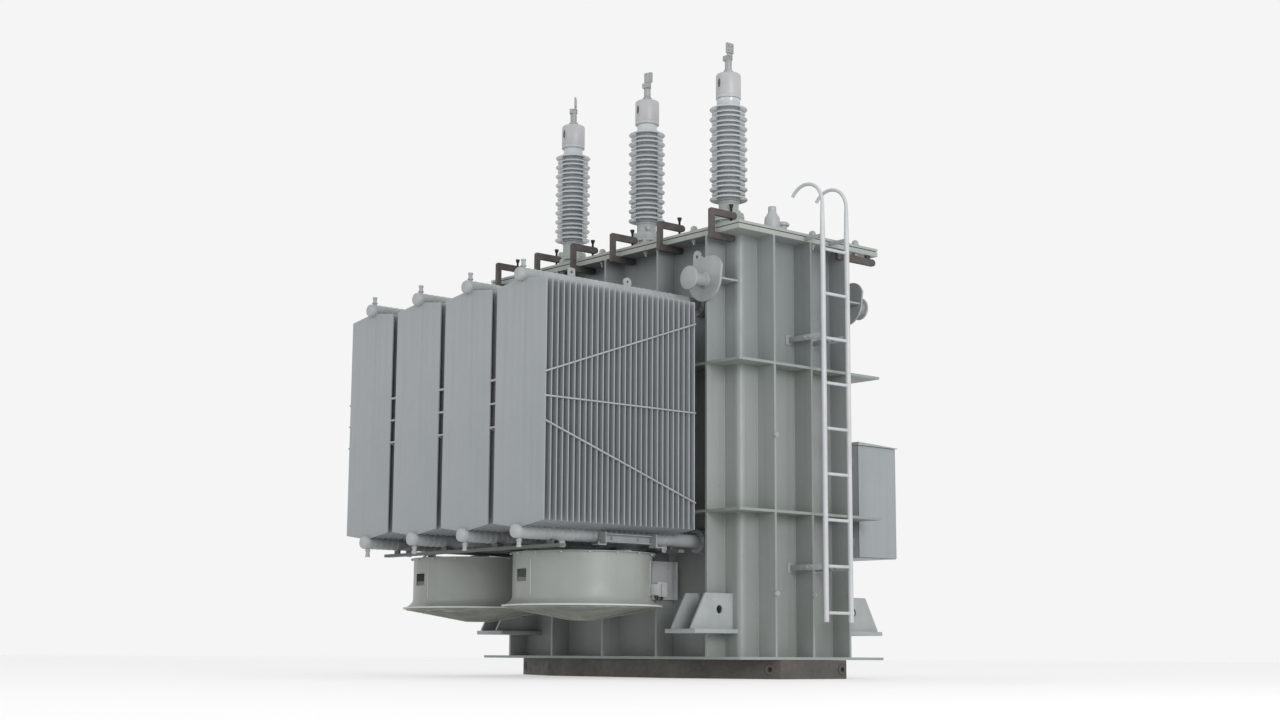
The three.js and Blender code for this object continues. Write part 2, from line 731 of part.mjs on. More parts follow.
function clampScrew() {
  const screw = rod(CLAMP.screw, COVER_TOP + GAP, CLAMP.screwTop - 10, 8);
  const knob = rod(10, CLAMP.screwTop - 26, CLAMP.screwTop, 8, CLAMP.head);
  return join(screw, knob);
}

CLAMPS_X.forEach((x, i) => {
  piece("clamp_frame_" + (i + 1), clampFrame(), CLAMP_STEEL, [x, 0, 0]);
  piece("clamp_screw_" + (i + 1), clampScrew(), BLACK_STEEL, [x, CLAMP.screwY, 0]);
});

export default transformer;
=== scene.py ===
"""The looks of an oil-filled power transformer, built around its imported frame. Metres, +Z up."""

import json
import random
from math import atan2, copysign, cos, pi, radians, sin, sqrt, tau

import bmesh
import bpy
from mathutils import Matrix, Vector


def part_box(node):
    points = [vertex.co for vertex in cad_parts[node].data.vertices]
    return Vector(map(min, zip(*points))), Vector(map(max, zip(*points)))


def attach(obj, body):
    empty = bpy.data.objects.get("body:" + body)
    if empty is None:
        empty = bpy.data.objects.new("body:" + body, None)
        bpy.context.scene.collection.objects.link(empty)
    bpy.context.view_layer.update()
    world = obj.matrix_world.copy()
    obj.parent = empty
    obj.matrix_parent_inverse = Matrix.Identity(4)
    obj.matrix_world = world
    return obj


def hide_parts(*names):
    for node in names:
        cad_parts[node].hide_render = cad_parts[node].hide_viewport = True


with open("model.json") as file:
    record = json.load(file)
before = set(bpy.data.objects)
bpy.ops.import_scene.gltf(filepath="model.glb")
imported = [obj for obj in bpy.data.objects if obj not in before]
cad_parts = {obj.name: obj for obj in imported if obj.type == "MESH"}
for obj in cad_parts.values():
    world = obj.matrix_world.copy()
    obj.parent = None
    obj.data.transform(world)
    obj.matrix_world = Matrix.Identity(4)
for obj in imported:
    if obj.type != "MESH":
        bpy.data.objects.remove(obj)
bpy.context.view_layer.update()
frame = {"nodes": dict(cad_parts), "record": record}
random.seed(7)

ROOT = "transformer"
SIDES = (-1, 1)
NUMBERS = {"radiator": 4, "fan": 2, "bushing": 3, "clamp": 6}
UP = (0, 0, 1)
DOWN = (0, 0, -1)
RIM_UNDER = 2.9955
CORNER_STIFFENER = 1.077
CORNER_FACE = 0.6933


def low(node):
    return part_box(node)[0]


def high(node):
    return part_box(node)[1]


def centre(node):
    return (low(node) + high(node)) / 2


def heights(node):
    return low(node).z, high(node).z


def numbered(kind):
    return range(1, NUMBERS[kind] + 1)


def turn_z(angle):
    return Matrix.Rotation(angle, 4, "Z")


# ---- camera, light and floor ----
CAMERA_AT = (10.087, -9.081, 0.156)
CAMERA_YAW = radians(49.13)
CAMERA_PITCH = radians(9.105)
CAMERA_ROLL = radians(0.33)
LENS = 51.7


def camera():
    data = bpy.data.cameras.new("camera")
    data.lens = LENS
    data.clip_end = 200.0
    made = bpy.data.objects.new("camera", data)
    turn = turn_z(CAMERA_YAW) @ Matrix.Rotation(pi / 2 + CAMERA_PITCH, 4, "X")
    made.matrix_world = Matrix.Translation(CAMERA_AT) @ turn @ turn_z(CAMERA_ROLL)
    bpy.context.scene.collection.objects.link(made)
    bpy.context.scene.camera = made


def area_light(name, at, towards, size, watts):
    data = bpy.data.lights.new(name, "AREA")
    data.shape = "DISK"
    data.size = size
    data.energy = watts
    made = bpy.data.objects.new(name, data)
    aim = (Vector(towards) - Vector(at)).to_track_quat("-Z", "Y")
    made.matrix_world = Matrix.Translation(at) @ aim.to_matrix().to_4x4()
    bpy.context.scene.collection.objects.link(made)


def studio():
    world = bpy.data.worlds.new("studio")
    world.use_nodes = True
    backdrop = world.node_tree.nodes["Background"]
    backdrop.inputs["Color"].default_value = (0.913, 0.913, 0.913, 1)
    backdrop.inputs["Strength"].default_value = 1.0
    bpy.context.scene.world = world
    bpy.context.scene.view_settings.view_transform = "Standard"
    area_light("front_light", (-2.0, -14.0, 7.0), (0, -1.0, 1.6), 7.0, 160)
    area_light("end_light", (14.0, -4.5, 4.5), (1.2, -0.5, 1.7), 6.0, 760)


# ---- nodes and materials ----
def node(tree, kind, inputs=None, **settings):
    """A shader node with its sockets set or linked, by name or by place."""
    made = tree.nodes.new("ShaderNode" + kind)
    for key, value in settings.items():
        setattr(made, key, value)
    for key, value in (inputs or {}).items():
        if isinstance(value, bpy.types.NodeSocket):
            tree.links.new(value, made.inputs[key])
        else:
            made.inputs[key].default_value = value
    return made


def spread(tree, value, start, end, out_start=0.0, out_end=1.0):
    """A value mapped from one range to another, held at both ends."""
    places = {0: value, 1: start, 2: end, 3: out_start, 4: out_end}
    return node(tree, "MapRange", places).outputs[0]


def mixed(tree, share, first, second, blend="MIX"):
    return node(tree, "Mix", {0: share, 6: first, 7: second}, data_type="RGBA", blend_type=blend).outputs[2]


def cloud(tree, place, scale, detail=5.0, stretch=None):
    if stretch:
        place = node(tree, "Mapping", {"Vector": place, "Scale": stretch}).outputs[0]
    settings = {"Vector": place, "Scale": scale, "Detail": detail, "Roughness": 0.6}
    return node(tree, "TexNoise", settings).outputs[0]


def surface(name, base, second, patch=2.5, rough=(0.35, 0.5), metallic=0.0, streaks=0.0, peel=0.0,
            peel_scale=260.0, specks=None, coat=0.0, stretch=None, zones=()):
    """A procedural finish: two tones in soft patches, run marks, specks, uneven gloss and a fine bump.

    zones holds (colour, z_from, z_to, share): a tone that grows from none to share between two heights; the
    tank uses these bands for painted light and shade.
    """
    base, second = (*base, 1.0), (*second, 1.0)
    made = bpy.data.materials.new(name)
    made.use_nodes = True
    tree = made.node_tree
    shader = tree.nodes["Principled BSDF"]
    place = node(tree, "TexCoord").outputs["Object"]
    patches = cloud(tree, place, patch, stretch=stretch)
    tone = mixed(tree, spread(tree, patches, 0.35, 0.65), base, second)
    if zones:
        height = node(tree, "SeparateXYZ", {0: place}).outputs[2]
        for zone_colour, z_from, z_to, share in zones:
            grown = spread(tree, height, z_from, z_to, 0.0, share)
            tone = mixed(tree, grown, tone, (*zone_colour, 1.0))
    if streaks:
        runs = cloud(tree, place, 1.0, 3.0, (22.0, 22.0, 0.55))
        shade = tuple(c * 0.72 for c in second[:3]) + (1.0,)
        tone = mixed(tree, spread(tree, runs, 0.52, 0.8, 0.0, streaks), tone, shade)
    if specks:
        speck_colour, amount = specks
        dots = cloud(tree, place, 55.0, 2.0)
        tone = mixed(tree, spread(tree, dots, 0.66, 0.72, 0.0, amount), tone, (*speck_colour, 1.0))
    tree.links.new(tone, shader.inputs["Base Color"])
    gloss = cloud(tree, place, patch * 6, 3.0)
    tree.links.new(spread(tree, gloss, 0.3, 0.7, *rough), shader.inputs["Roughness"])
    shader.inputs["Metallic"].default_value = metallic
    if coat:
        shader.inputs["Coat Weight"].default_value = coat
        shader.inputs["Coat Roughness"].default_value = 0.08
    if peel:
        grain = cloud(tree, place, peel_scale, 2.0)
        wave = cloud(tree, place, 6.0, 2.0)
        height = node(tree, "Math", {0: wave, 1: 6.0, 2: grain}, operation="MULTIPLY_ADD").outputs[0]
        bump = node(tree, "Bump", {"Height": height, "Strength": peel, "Distance": 0.0015})
        tree.links.new(bump.outputs[0], shader.inputs["Normal"])
    return made


# Painted light and shade by height on the tank paint: greenish darker tones growing up to the underside of
# each flange stand for the shade and green reflection there; the tones set above each flange make the middle
# tier lighter and the upper tier darker, as the light falls on them; the last turns the wall from just under
# the rim upward, and the cover, a lighter green.
TANK_PAINTED_LIGHT_AND_SHADE = (
    ((0.225, 0.262, 0.225), 1.05, 1.1, 0.35),
    ((0.28, 0.3, 0.3), 1.12, 1.2, 0.7),
    ((0.215, 0.255, 0.215), 1.95, 2.12, 0.4),
    ((0.235, 0.25, 0.262), 2.13, 2.2, 0.7),
    ((0.34, 0.365, 0.34), 2.985, 2.999, 0.75),
)
tank_paint = surface("tank_paint", (0.272, 0.288, 0.284), (0.232, 0.254, 0.242), 1.4, (0.36, 0.52),
                     streaks=0.35, peel=0.16, specks=((0.15, 0.155, 0.145), 0.35), zones=TANK_PAINTED_LIGHT_AND_SHADE)
# Painted shade: the fan support frame gets a near-black paint so that it reads as the deep shade under the
# radiators.
painted_shade_frame_paint = surface("painted_shade_frame_paint", (0.13, 0.142, 0.138), (0.1, 0.11, 0.103), 3.0, (0.4, 0.6),
                      streaks=0.3, peel=0.2, specks=((0.07, 0.07, 0.065), 0.4))
radiator_paint = surface("radiator_paint", (0.288, 0.309, 0.324), (0.258, 0.28, 0.291), 1.1, (0.34, 0.46),
                         streaks=0.3, peel=0.1, specks=((0.2, 0.21, 0.21), 0.25))
pipe_paint = surface("pipe_paint", (0.34, 0.358, 0.362), (0.285, 0.308, 0.305), 5.0, (0.34, 0.5),
                     streaks=0.2, peel=0.12, specks=((0.2, 0.21, 0.2), 0.3))
fan_paint = surface("fan_paint", (0.268, 0.284, 0.266), (0.232, 0.256, 0.234), 2.4, (0.34, 0.48),
                    streaks=0.25, peel=0.1, specks=((0.2, 0.21, 0.2), 0.3))
skid_paint = surface("skid_paint", (0.058, 0.057, 0.052), (0.084, 0.077, 0.067), 5.0, (0.55, 0.85),
                     streaks=0.5, peel=0.5, peel_scale=90.0, specks=((0.2, 0.14, 0.09), 0.5))
clamp_steel = surface("clamp_steel", (0.105, 0.094, 0.089), (0.07, 0.064, 0.06), 16.0, (0.5, 0.75),
                      metallic=0.35, peel=0.6, peel_scale=120.0, specks=((0.15, 0.1, 0.07), 0.4))
black_steel = surface("black_steel", (0.022, 0.021, 0.02), (0.045, 0.042, 0.038), 30.0, (0.3, 0.5),
                      metallic=0.7, peel=0.3)
bare_metal = surface("bare_metal", (0.36, 0.365, 0.365), (0.27, 0.275, 0.275), 12.0, (0.42, 0.6),
                     metallic=0.45, peel=0.25, stretch=(1, 1, 8), specks=((0.15, 0.15, 0.15), 0.4))
wire_zinc = surface("wire_zinc", (0.36, 0.375, 0.33), (0.25, 0.265, 0.235), 9.0, (0.35, 0.55),
                    metallic=0.4)
head_metal = surface("head_metal", (0.43, 0.432, 0.445), (0.38, 0.383, 0.395), 6.0, (0.38, 0.5),
                     metallic=0.05, peel=0.12, specks=((0.26, 0.26, 0.26), 0.2))
porcelain = surface("porcelain", (0.46, 0.485, 0.505), (0.4, 0.425, 0.445), 4.0, (0.14, 0.26),
                    peel=0.04, coat=0.3, specks=((0.3, 0.32, 0.33), 0.25))
rubber = surface("rubber", (0.03, 0.031, 0.031), (0.05, 0.05, 0.048), 14.0, (0.7, 0.9), peel=0.4)
copper = surface("copper", (0.5, 0.31, 0.16), (0.4, 0.24, 0.12), 8.0, (0.45, 0.6), metallic=0.3,
                 stretch=(1, 1, 30), peel=0.4)
core_steel = surface("core_steel", (0.2, 0.21, 0.22), (0.13, 0.135, 0.14), 4.0, (0.35, 0.5),
                     metallic=0.8, stretch=(0.3, 60, 0.3))
dark_glass = surface("dark_glass", (0.012, 0.012, 0.011), (0.03, 0.028, 0.02), 30.0, (0.05, 0.12),
                     coat=1.0)
# Pale grey paint for the ladder, the fan trim and the fan bracket plates; on the bracket plates it is painted
# light, a lighter stand-in for the frame paint where those plates catch light.
pale_paint_and_painted_light = surface("pale_paint_and_painted_light", (0.5, 0.515, 0.525), (0.44, 0.455, 0.465), 6.0, (0.36, 0.5),
                      streaks=0.15, peel=0.12, specks=((0.3, 0.3, 0.3), 0.25))
box_plastic = surface("box_plastic", (0.62, 0.63, 0.61), (0.54, 0.55, 0.53), 12.0, (0.38, 0.5),
                      peel=0.1, peel_scale=500.0)


# ---- mesh building ----
def aimed(at, direction, spin=0.0):
    """The placing that stands at a point with its Z along direction."""
    quat = Vector(direction).to_track_quat("Z", "Y")
    return Matrix.Translation(at) @ quat.to_matrix().to_4x4() @ turn_z(spin)


def standing(x, y, z=0.0, turn=0.0):
    return Matrix.Translation((x, y, z)) @ turn_z(turn)


def upright_x(x):
    """Places a plate drawn in (y, z) so that it runs from x towards +X."""
    return Matrix.Translation((x, 0, 0)) @ Matrix(((0, 0, 1, 0), (1, 0, 0, 0), (0, 1, 0, 0), (0, 0, 0, 1)))


def upright_y(y):
    """Places a plate drawn in (x, z) so that it runs from y towards +Y."""
    return Matrix.Translation((0, y, 0)) @ Matrix(((1, 0, 0, 0), (0, 0, 1, 0), (0, 1, 0, 0), (0, 0, 0, 1)))


def facing_x(at):
    """Turns a plate upright, with its thickness along the X of its placing."""
    return at @ turn_z(pi / 2) @ Matrix.Rotation(pi / 2, 4, "X")


def lifted(profile, z):
    """A profile with its heights counted from z."""
    return [(radius, z + rise) for radius, rise in profile]


def arc(x, y, radius, start, end, steps):
    """Points along an arc, in degrees, both ends included."""
    angles = [radians(start + (end - start) * i / steps) for i in range(steps + 1)]
    return [(x + radius * cos(a), y + radius * sin(a)) for a in angles]


def circle(x, y, radius, steps=28):
    return arc(x, y, radius, 0, 360, steps)[:-1]


def oval(radius_x, radius_y, steps=28, x=0, y=0):
    angles = [i * tau / steps for i in range(steps)]
    return [(x + radius_x * cos(a), y + radius_y * sin(a)) for a in angles]


def rounded(x0, x1, y0, y1, radius, steps=4):
    corners = ((x1, y0, -90), (x1, y1, 0), (x0, y1, 90), (x0, y0, 180))
    points = []
    for x, y, start in corners:
        inner_x = x - radius if x == x1 else x + radius
        inner_y = y - radius if y == y1 else y + radius
        points += arc(inner_x, inner_y, radius, start, start + 90, steps)
    return points


class Shape:
    """The corners and faces of one piece, gathered from simple bodies."""

    def __init__(self):
        self.corners = []
        self.faces = []

    def add(self, corners, faces, at=Matrix()):
        base = len(self.corners)
        self.corners += [at @ Vector(c) for c in corners]
        self.faces += [[base + i for i in face] for face in faces]
        return self

    def lathe(self, profile, at=Matrix(), sides=48, closed=False):
        """A body of revolution about Z from (radius, z) pairs; a pair on the axis is one point."""
        corners = []
        rings = []
        for radius, z in profile:
            count = sides if radius > 1e-6 else 1
            rings.append(range(len(corners), len(corners) + count))
            corners += [(radius * cos(a), radius * sin(a), z)
                        for a in (i * tau / sides for i in range(count))]
        pairs = list(zip(rings, rings[1:]))
        if closed:
            pairs.append((rings[-1], rings[0]))
        faces = []
        for first, second in pairs:
            for i in range(sides):
                j = (i + 1) % sides
                face = [first[k % len(first)] for k in (i, j)] + [second[k % len(second)] for k in (j, i)]
                face = list(dict.fromkeys(face))
                if len(face) > 2:
                    faces.append(face)
        return self.add(corners, faces, at)

    def rod(self, start, end, radius, sides=20, edge=0.0, end_radius=None):
        """A round bar between two points, with eased end edges."""
        length = (Vector(end) - Vector(start)).length
        last = radius if end_radius is None else end_radius
        profile = [(0, 0), (radius - edge, 0)]
        if edge:
            profile += [(radius - edge * 0.3, edge * 0.3), (radius, edge), (last, length - edge)]
            profile += [(last - edge * 0.3, length - edge * 0.3)]
        profile += [(last - edge, length), (0, length)]
        return self.lathe(profile, aimed(start, Vector(end) - Vector(start)), sides)

    def tube(self, path, radius, sides=14):
        """A round bar along a list of points; radius is one value or one for each point."""
        points = [Vector(p) for p in path]
        radii = radius if isinstance(radius, list) else [radius] * len(points)
        corners = []
        normal = None
        for i, point in enumerate(points):
            ahead = points[min(i + 1, len(points) - 1)] - points[max(i - 1, 0)]
            ahead.normalize()
            normal = ahead.orthogonal() if normal is None else normal - ahead * normal.dot(ahead)
            normal.normalize()
            across = ahead.cross(normal)
            for k in range(sides):
                a = k * tau / sides
                corners.append(point + (normal * cos(a) + across * sin(a)) * radii[i])
        faces = [list(range(sides))[::-1], [len(corners) - sides + k for k in range(sides)]]
        for i in range(len(points) - 1):
            for k in range(sides):
                j = (k + 1) % sides
                faces.append([i * sides + k, i * sides + j, (i + 1) * sides + j, (i + 1) * sides + k])
        return self.add(corners, faces)

    def block(self, corner, opposite, at=Matrix()):
        x, y, z = zip(corner, opposite)
        corners = [(x[i], y[j], z[k]) for k in (0, 1) for i, j in ((0, 0), (1, 0), (1, 1), (0, 1))]
        faces = [(3, 2, 1, 0), (4, 5, 6, 7), (0, 1, 5, 4), (1, 2, 6, 5), (2, 3, 7, 6), (3, 0, 4, 7)]
        return self.add(corners, faces, at)

    def plate(self, outlines, thick, at=Matrix(), edge=0.0015):
        """A flat plate in XY, z from 0 to thick, from its outline and holes, with eased edges."""
        curve = bpy.data.curves.new("outline", "CURVE")
        curve.dimensions = "2D"
        curve.fill_mode = "BOTH"
        curve.extrude = thick / 2 - edge
        curve.bevel_depth = edge
        curve.bevel_resolution = 1
        for points in outlines:
            spline = curve.splines.new("POLY")
            spline.points.add(len(points) - 1)
            for spot, (x, y) in zip(spline.points, points):
                spot.co = (x, y, 0, 1)
            spline.use_cyclic_u = True
        holder = bpy.data.objects.new("outline", curve)
        mesh = bpy.data.meshes.new_from_object(holder)
        lift = at @ Matrix.Translation((0, 0, thick / 2))
        self.add([v.co for v in mesh.vertices], [list(p.vertices) for p in mesh.polygons], lift)
        bpy.data.objects.remove(holder)
        bpy.data.curves.remove(curve)
        bpy.data.meshes.remove(mesh)
        return self

    def slab(self, rows):
        """A closed slab from rows of (middle point, half thickness as a vector)."""
        across = len(rows[0])
        flat = [pair for row in rows for pair in row]
        corners = [p + o for p, o in flat] + [p - o for p, o in flat]
        back = len(flat)
        faces = []
        for i in range(len(rows) - 1):
            for j in range(across - 1):
                a = i * across + j
                quad = [a, a + 1, a + across + 1, a + across]
                faces += [quad, [back + k for k in reversed(quad)]]
        last = (len(rows) - 1) * across
        loop = list(range(across)) + [i * across + across - 1 for i in range(1, len(rows))]
        loop += [last + j for j in range(across - 2, -1, -1)]
        loop += [i * across for i in range(len(rows) - 2, 0, -1)]
        for a, b in zip(loop, loop[1:] + loop[:1]):
            faces.append([b, a, back + a, back + b])
        return self.add(corners, faces)

    def bolt(self, at, direction, size=0.012, stick=0.0):
        """A hexagon head on its washer; stick is how far a threaded end shows beyond the head."""
        where = aimed(at, direction, random.uniform(0, tau))
        seat = size * 0.2
        self.lathe([(0, 0), (size * 1.25, 0), (size * 1.25, seat), (0, seat)], where, 20)
        tall = size * 0.95
        head = [(0, seat), (size, seat), (size, tall - size * 0.12), (size * 0.86, tall), (0, tall)]
        self.lathe(head, where, 6)
        if stick:
            end = [(0, -0.001), (size * 0.55, -0.001), (size * 0.5, stick), (0, stick)]
            self.lathe(lifted(end, tall), where, 12)
        return self

    def bolt_ring(self, at, radius, count, z, size, stick=0.0, start=0.0, direction=UP):
        for spot in ring_points(radius, count, z, start):
            self.bolt(at @ spot, direction, size, stick)

    def weld(self, path, radius=0.005):
        """A weld bead: a thin six-sided tube along a path."""
        return self.tube(path, radius, 6)


def ring_points(radius, count, z=0.0, start=0.0):
    angles = [start + i * tau / count for i in range(count)]
    return [Vector((radius * cos(a), radius * sin(a), z)) for a in angles]


def mesh_of(name, shape, bevel=0.0, smooth=35):
    mesh = bpy.data.meshes.new(name)
    mesh.from_pydata([tuple(c) for c in shape.corners], [], shape.faces)
    work = bmesh.new()
    work.from_mesh(mesh)
    bmesh.ops.recalc_face_normals(work, faces=work.faces)
    if bevel:
        limit = radians(40)
        sharp = [e for e in work.edges if len(e.link_faces) == 2 and e.calc_face_angle(0.0) > limit]
        bmesh.ops.bevel(work, geom=sharp, offset=bevel, segments=2, profile=0.5, affect="EDGES",
                        clamp_overlap=True)
    work.to_mesh(mesh)
    work.free()
    mesh.shade_smooth()
    mesh.set_sharp_from_angle(angle=radians(smooth))
    return mesh


def piece(name, shape, material, body=ROOT, bevel=0.0, smooth=35, replaces=(), at=None):
    """Makes a piece from a shape, or from a mesh that other pieces share, and fixes it to its body."""
    mesh = shape if isinstance(shape, bpy.types.Mesh) else mesh_of(name, shape, bevel, smooth)
    if not mesh.materials:
        mesh.materials.append(material)
    made = bpy.data.objects.new(name, mesh)
    if at is not None:
        made.matrix_world = at
    bpy.context.scene.collection.objects.link(made)
    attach(made, body)
    if replaces:
        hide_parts(*replaces)
    return made


def paint_node(name, material):
    made = frame["nodes"][name]
    made.data.materials.clear()
    made.data.materials.append(material)


# ---- CAD nodes that stay as they are ----
def keep_cad():
    paint_node("base_skid", skid_paint)
    paint_node("tank_shell", tank_paint)
    paint_node("cover_gasket", rubber)
    paint_node("tank_cover", tank_paint)
    paint_node("core", core_steel)
    for phase in "abc":
        paint_node("winding_" + phase, copper)
    # painted shade: near-black paint standing in for the shade under the radiators
    paint_node("fan_support_frame", painted_shade_frame_paint)


# ---- radiators ----
PANELS = 28
FLUTES = 7
PANEL_COLUMNS = 57
EDGE_ROWS = (0.0, 0.004, 0.022, 0.055)
PANEL_PEAK = 0.035
HEADER_RADIUS = 0.0445
PANEL_BOTTOM = 0.972
PANEL_TOP = 2.501
PANEL_INNER = -0.844
PANEL_OUTER = -2.110
PANEL_THICK = 0.008
PANEL_HALF = (high("radiator_1").x - low("radiator_1").x) / 2
HEADERS = ((PANEL_TOP + 0.055, 1), (PANEL_BOTTOM - 0.056, -1))  # height, and which way is out


def panel_ends(x):
    """The lowest and highest z of a panel at x, below its bottom corner and above its top corner."""
    rise = PANEL_PEAK * (1 - abs(x) / PANEL_HALF)
    return PANEL_BOTTOM - rise, PANEL_TOP + rise


def panel_y(number):
    pitch = (PANEL_INNER - PANEL_OUTER - PANEL_THICK) / (PANELS - 1)
    return PANEL_INNER - PANEL_THICK / 2 - number * pitch


def add_panel(shape, y):
    """One pressed panel: channels down its face that fade out towards the ends, and a thin welded rim."""
    steps = [(d, 0) for d in EDGE_ROWS] + [(0.5, 2)] + [(d, 1) for d in reversed(EDGE_ROWS)]
    rows = []
    for offset, kind in steps:
        row = []
        for j in range(PANEL_COLUMNS):
            x = -PANEL_HALF + 2 * PANEL_HALF * j / (PANEL_COLUMNS - 1)
            bottom, top = panel_ends(x)
            z = (bottom + offset, top - offset, (bottom + top) / 2)[kind]
            near_end = 1.0 if kind == 2 else min(1.0, offset / EDGE_ROWS[-1])
            channel = abs(sin(pi * FLUTES * (j / (PANEL_COLUMNS - 1))))
            side = min(1.0, (PANEL_HALF - abs(x)) / 0.012)
            thick = 0.0042 + 0.0028 * min(1.0, channel * 1.6) * near_end * side
            if offset == 0.0:
                thick = 0.0016
            row.append((Vector((x, y, z)), Vector((0, thick, 0))))
        rows.append(row)
    shape.slab(rows)


def radiator_panels():
    shape = Shape()
    for i in range(PANELS):
        add_panel(shape, panel_y(i))
    for j in range(FLUTES + 1):
        x = -PANEL_HALF + 0.02 + (2 * PANEL_HALF - 0.04) * j / FLUTES
        bottom, top = panel_ends(x)
        for z in (bottom + 0.028, top - 0.028):
            dot = [(0.0, -0.001), (0.0065, 0.0), (0.004, 0.002), (0.0, 0.0025)]
            shape.lathe(dot, aimed((x, PANEL_OUTER - 0.001, z), (0, -1, 0)), 12)
    return mesh_of("radiator_panels", shape, smooth=50)


def radiator_headers():
    """Both headers of one radiator with their end caps, flanges, vent, drain and lifting eyes."""
    shape = Shape()
    end = low("radiator_1").y
    inner = high("radiator_1").y
    length = inner - end
    for z, up in HEADERS:
        cap = [(0, 0), (0.026, 0.001), (0.0385, 0.006), (HEADER_RADIUS, 0.016)]
        cap += [(HEADER_RADIUS, 0.03), (HEADER_RADIUS + 0.0015, 0.034), (HEADER_RADIUS, 0.038)]
        cap += [(HEADER_RADIUS, length - 0.02), (0, length - 0.02)]
        shape.lathe(cap, aimed((0, end, z), (0, 1, 0)), 40)
        flange = [(0.03, -0.022), (0.082, -0.022), (0.082, 0.0), (0.03, 0.0)]
        shape.lathe(flange, aimed((0, inner, z), (0, 1, 0)), 40, closed=True)
        for spot in ring_points(0.066, 8, start=pi / 8):
            shape.bolt((spot.x, inner - 0.022, z + spot.y), (0, -1, 0), 0.009, 0.006)
        seam = HEADER_RADIUS - 0.002
        for k in range(PANELS):
            bead = [(seam, -0.006), (HEADER_RADIUS + 0.0022, 0), (seam, 0.006)]
            shape.lathe(bead, aimed((0, panel_y(k), z), (0, 1, 0)), 24, closed=True)
        stub_y = end + 0.052
        foot = z + up * (HEADER_RADIUS - 0.004)
        tip = foot + up * 0.046
        for start, stop, radius, sides in (
            (foot, tip, 0.014, 18),
            (foot + up * 0.012, foot + up * 0.02, 0.02, 18),
            (tip, tip + up * 0.014, 0.0165, 6),
        ):
            shape.rod((0, stub_y, start), (0, stub_y, stop), radius, sides, 0.002)
    depth = PANEL_INNER - PANEL_OUTER
    top_z = HEADERS[0][0]
    for share, outline in (
        (0.68, rounded(-0.028, 0.028, 0.034, 0.098, 0.012)),
        (0.3, circle(0, 0.066, 0.033)),
    ):
        y = PANEL_INNER - share * depth
        upright = facing_x(Matrix.Translation((-0.006, y, top_z)))
        shape.plate([outline, circle(0, 0.07, 0.011, 16)], 0.012, upright)
    for share in (0.03, 0.72):
        y = PANEL_INNER - share * depth
        shape.block((-0.004, y - 0.022, PANEL_BOTTOM - 0.142), (0.004, y + 0.022, PANEL_BOTTOM - 0.09))
        shape.bolt((0.004, y, PANEL_BOTTOM - 0.125), (1, 0, 0), 0.008)
    return mesh_of("radiator_headers", shape, smooth=40)


BRACES = ((1.900, 2.352), (1.748, 1.748), (1.595, 1.148))  # z at the outer and at the inner edge


def radiator_braces():
    shape = Shape()
    for side in SIDES:
        x = side * (PANEL_HALF + 0.004)
        for outer_z, inner_z in BRACES:
            shape.rod((x, PANEL_OUTER - 0.004, outer_z), (x, PANEL_INNER + 0.004, inner_z), 0.006, 10, 0.001)
    return mesh_of("radiator_braces", shape)


BEAM_ENDS = (-1.488, -1.062)


def radiator_beams():
    """The channel under each radiator, beside its header, with its end angles."""
    shape = Shape()
    for i in numbered("radiator"):
        middle = centre(f"radiator_{i}").x
        side = copysign(1, middle)
        near, far = middle + side * 0.0485, middle + side * 0.0545
        start, end = BEAM_ENDS
        shape.block((near, start, 0.8725), (far, end, 0.928))
        for z in (0.8725, 0.922):
            shape.block((far, start, z), (far + side * 0.03, end, z + 0.006))
        for y, out in ((start, -1), (end, 1)):
            shape.block((near, y, 0.85), (near + side * 0.075, y + out * 0.007, 0.935))
            shape.block((near, y + out * 0.007, 0.85), (near + side * 0.075, y + out * 0.06, 0.8565))
            shape.bolt((near + side * 0.04, y + out * 0.035, 0.8565), UP, 0.009, 0.008)
        for y in (start + 0.1, end - 0.1):
            shape.bolt((far, y, 0.9), (side, 0, 0), 0.009, 0.004)
    piece("radiator_beams", shape, pipe_paint)


def radiators():
    panels = radiator_panels()
    headers = radiator_headers()
    braces = radiator_braces()
    for i in numbered("radiator"):
        name = f"radiator_{i}"
        at = Matrix.Translation((centre(name).x, 0, 0))
        piece(name + "_panels", panels, radiator_paint, replaces=(name,), at=at)
        piece(name + "_headers", headers, pipe_paint, at=at)
        piece(name + "_braces", braces, pipe_paint, at=at)
    ties = Shape()
    for i in range(1, NUMBERS["radiator"]):
        left = high(f"radiator_{i}").x
        right = low(f"radiator_{i + 1}").x
        for z, _ in BRACES:
            for y in (PANEL_OUTER + 0.004, PANEL_INNER - 0.004):
                ties.rod((left - 0.004, y, z), (right + 0.004, y, z), 0.0065, 10, 0.001)
    piece("radiator_ties", ties, pipe_paint)
    radiator_beams()


# ---- fans ----
FAN_MIDDLE = 0.62
WINDOW_ANGLE = atan2(-0.442, -0.069)
SHROUD_SIDES = 90
DRUM_RADIUS = 0.4625
LIP_RADIUS = 0.5275
WINDOW_ROW = 4


def fan_shroud(at, top):
    """The drum with its top flange, flared lip and inspection window, 5 mm sheet."""
    rows = [(0.484, top - 0.002), (0.466, top - 0.002), (DRUM_RADIUS, top - 0.006), (DRUM_RADIUS, top - 0.05)]
    rows += [(DRUM_RADIUS, 0.704), (DRUM_RADIUS, 0.622), (DRUM_RADIUS, 0.532), (0.466, 0.517), (0.474, 0.503)]
    rows += [(0.489, 0.489), (0.508, 0.476), (0.524, 0.4665), (LIP_RADIUS, 0.4665), (LIP_RADIUS, 0.4725)]
    shape = Shape().lathe(rows, at @ turn_z(WINDOW_ANGLE), SHROUD_SIDES)
    first = WINDOW_ROW * SHROUD_SIDES
    gone = {first, first + 1, first + SHROUD_SIDES - 1, first + SHROUD_SIDES - 2}
    shape.faces = [face for k, face in enumerate(shape.faces) if k not in gone]
    return shape


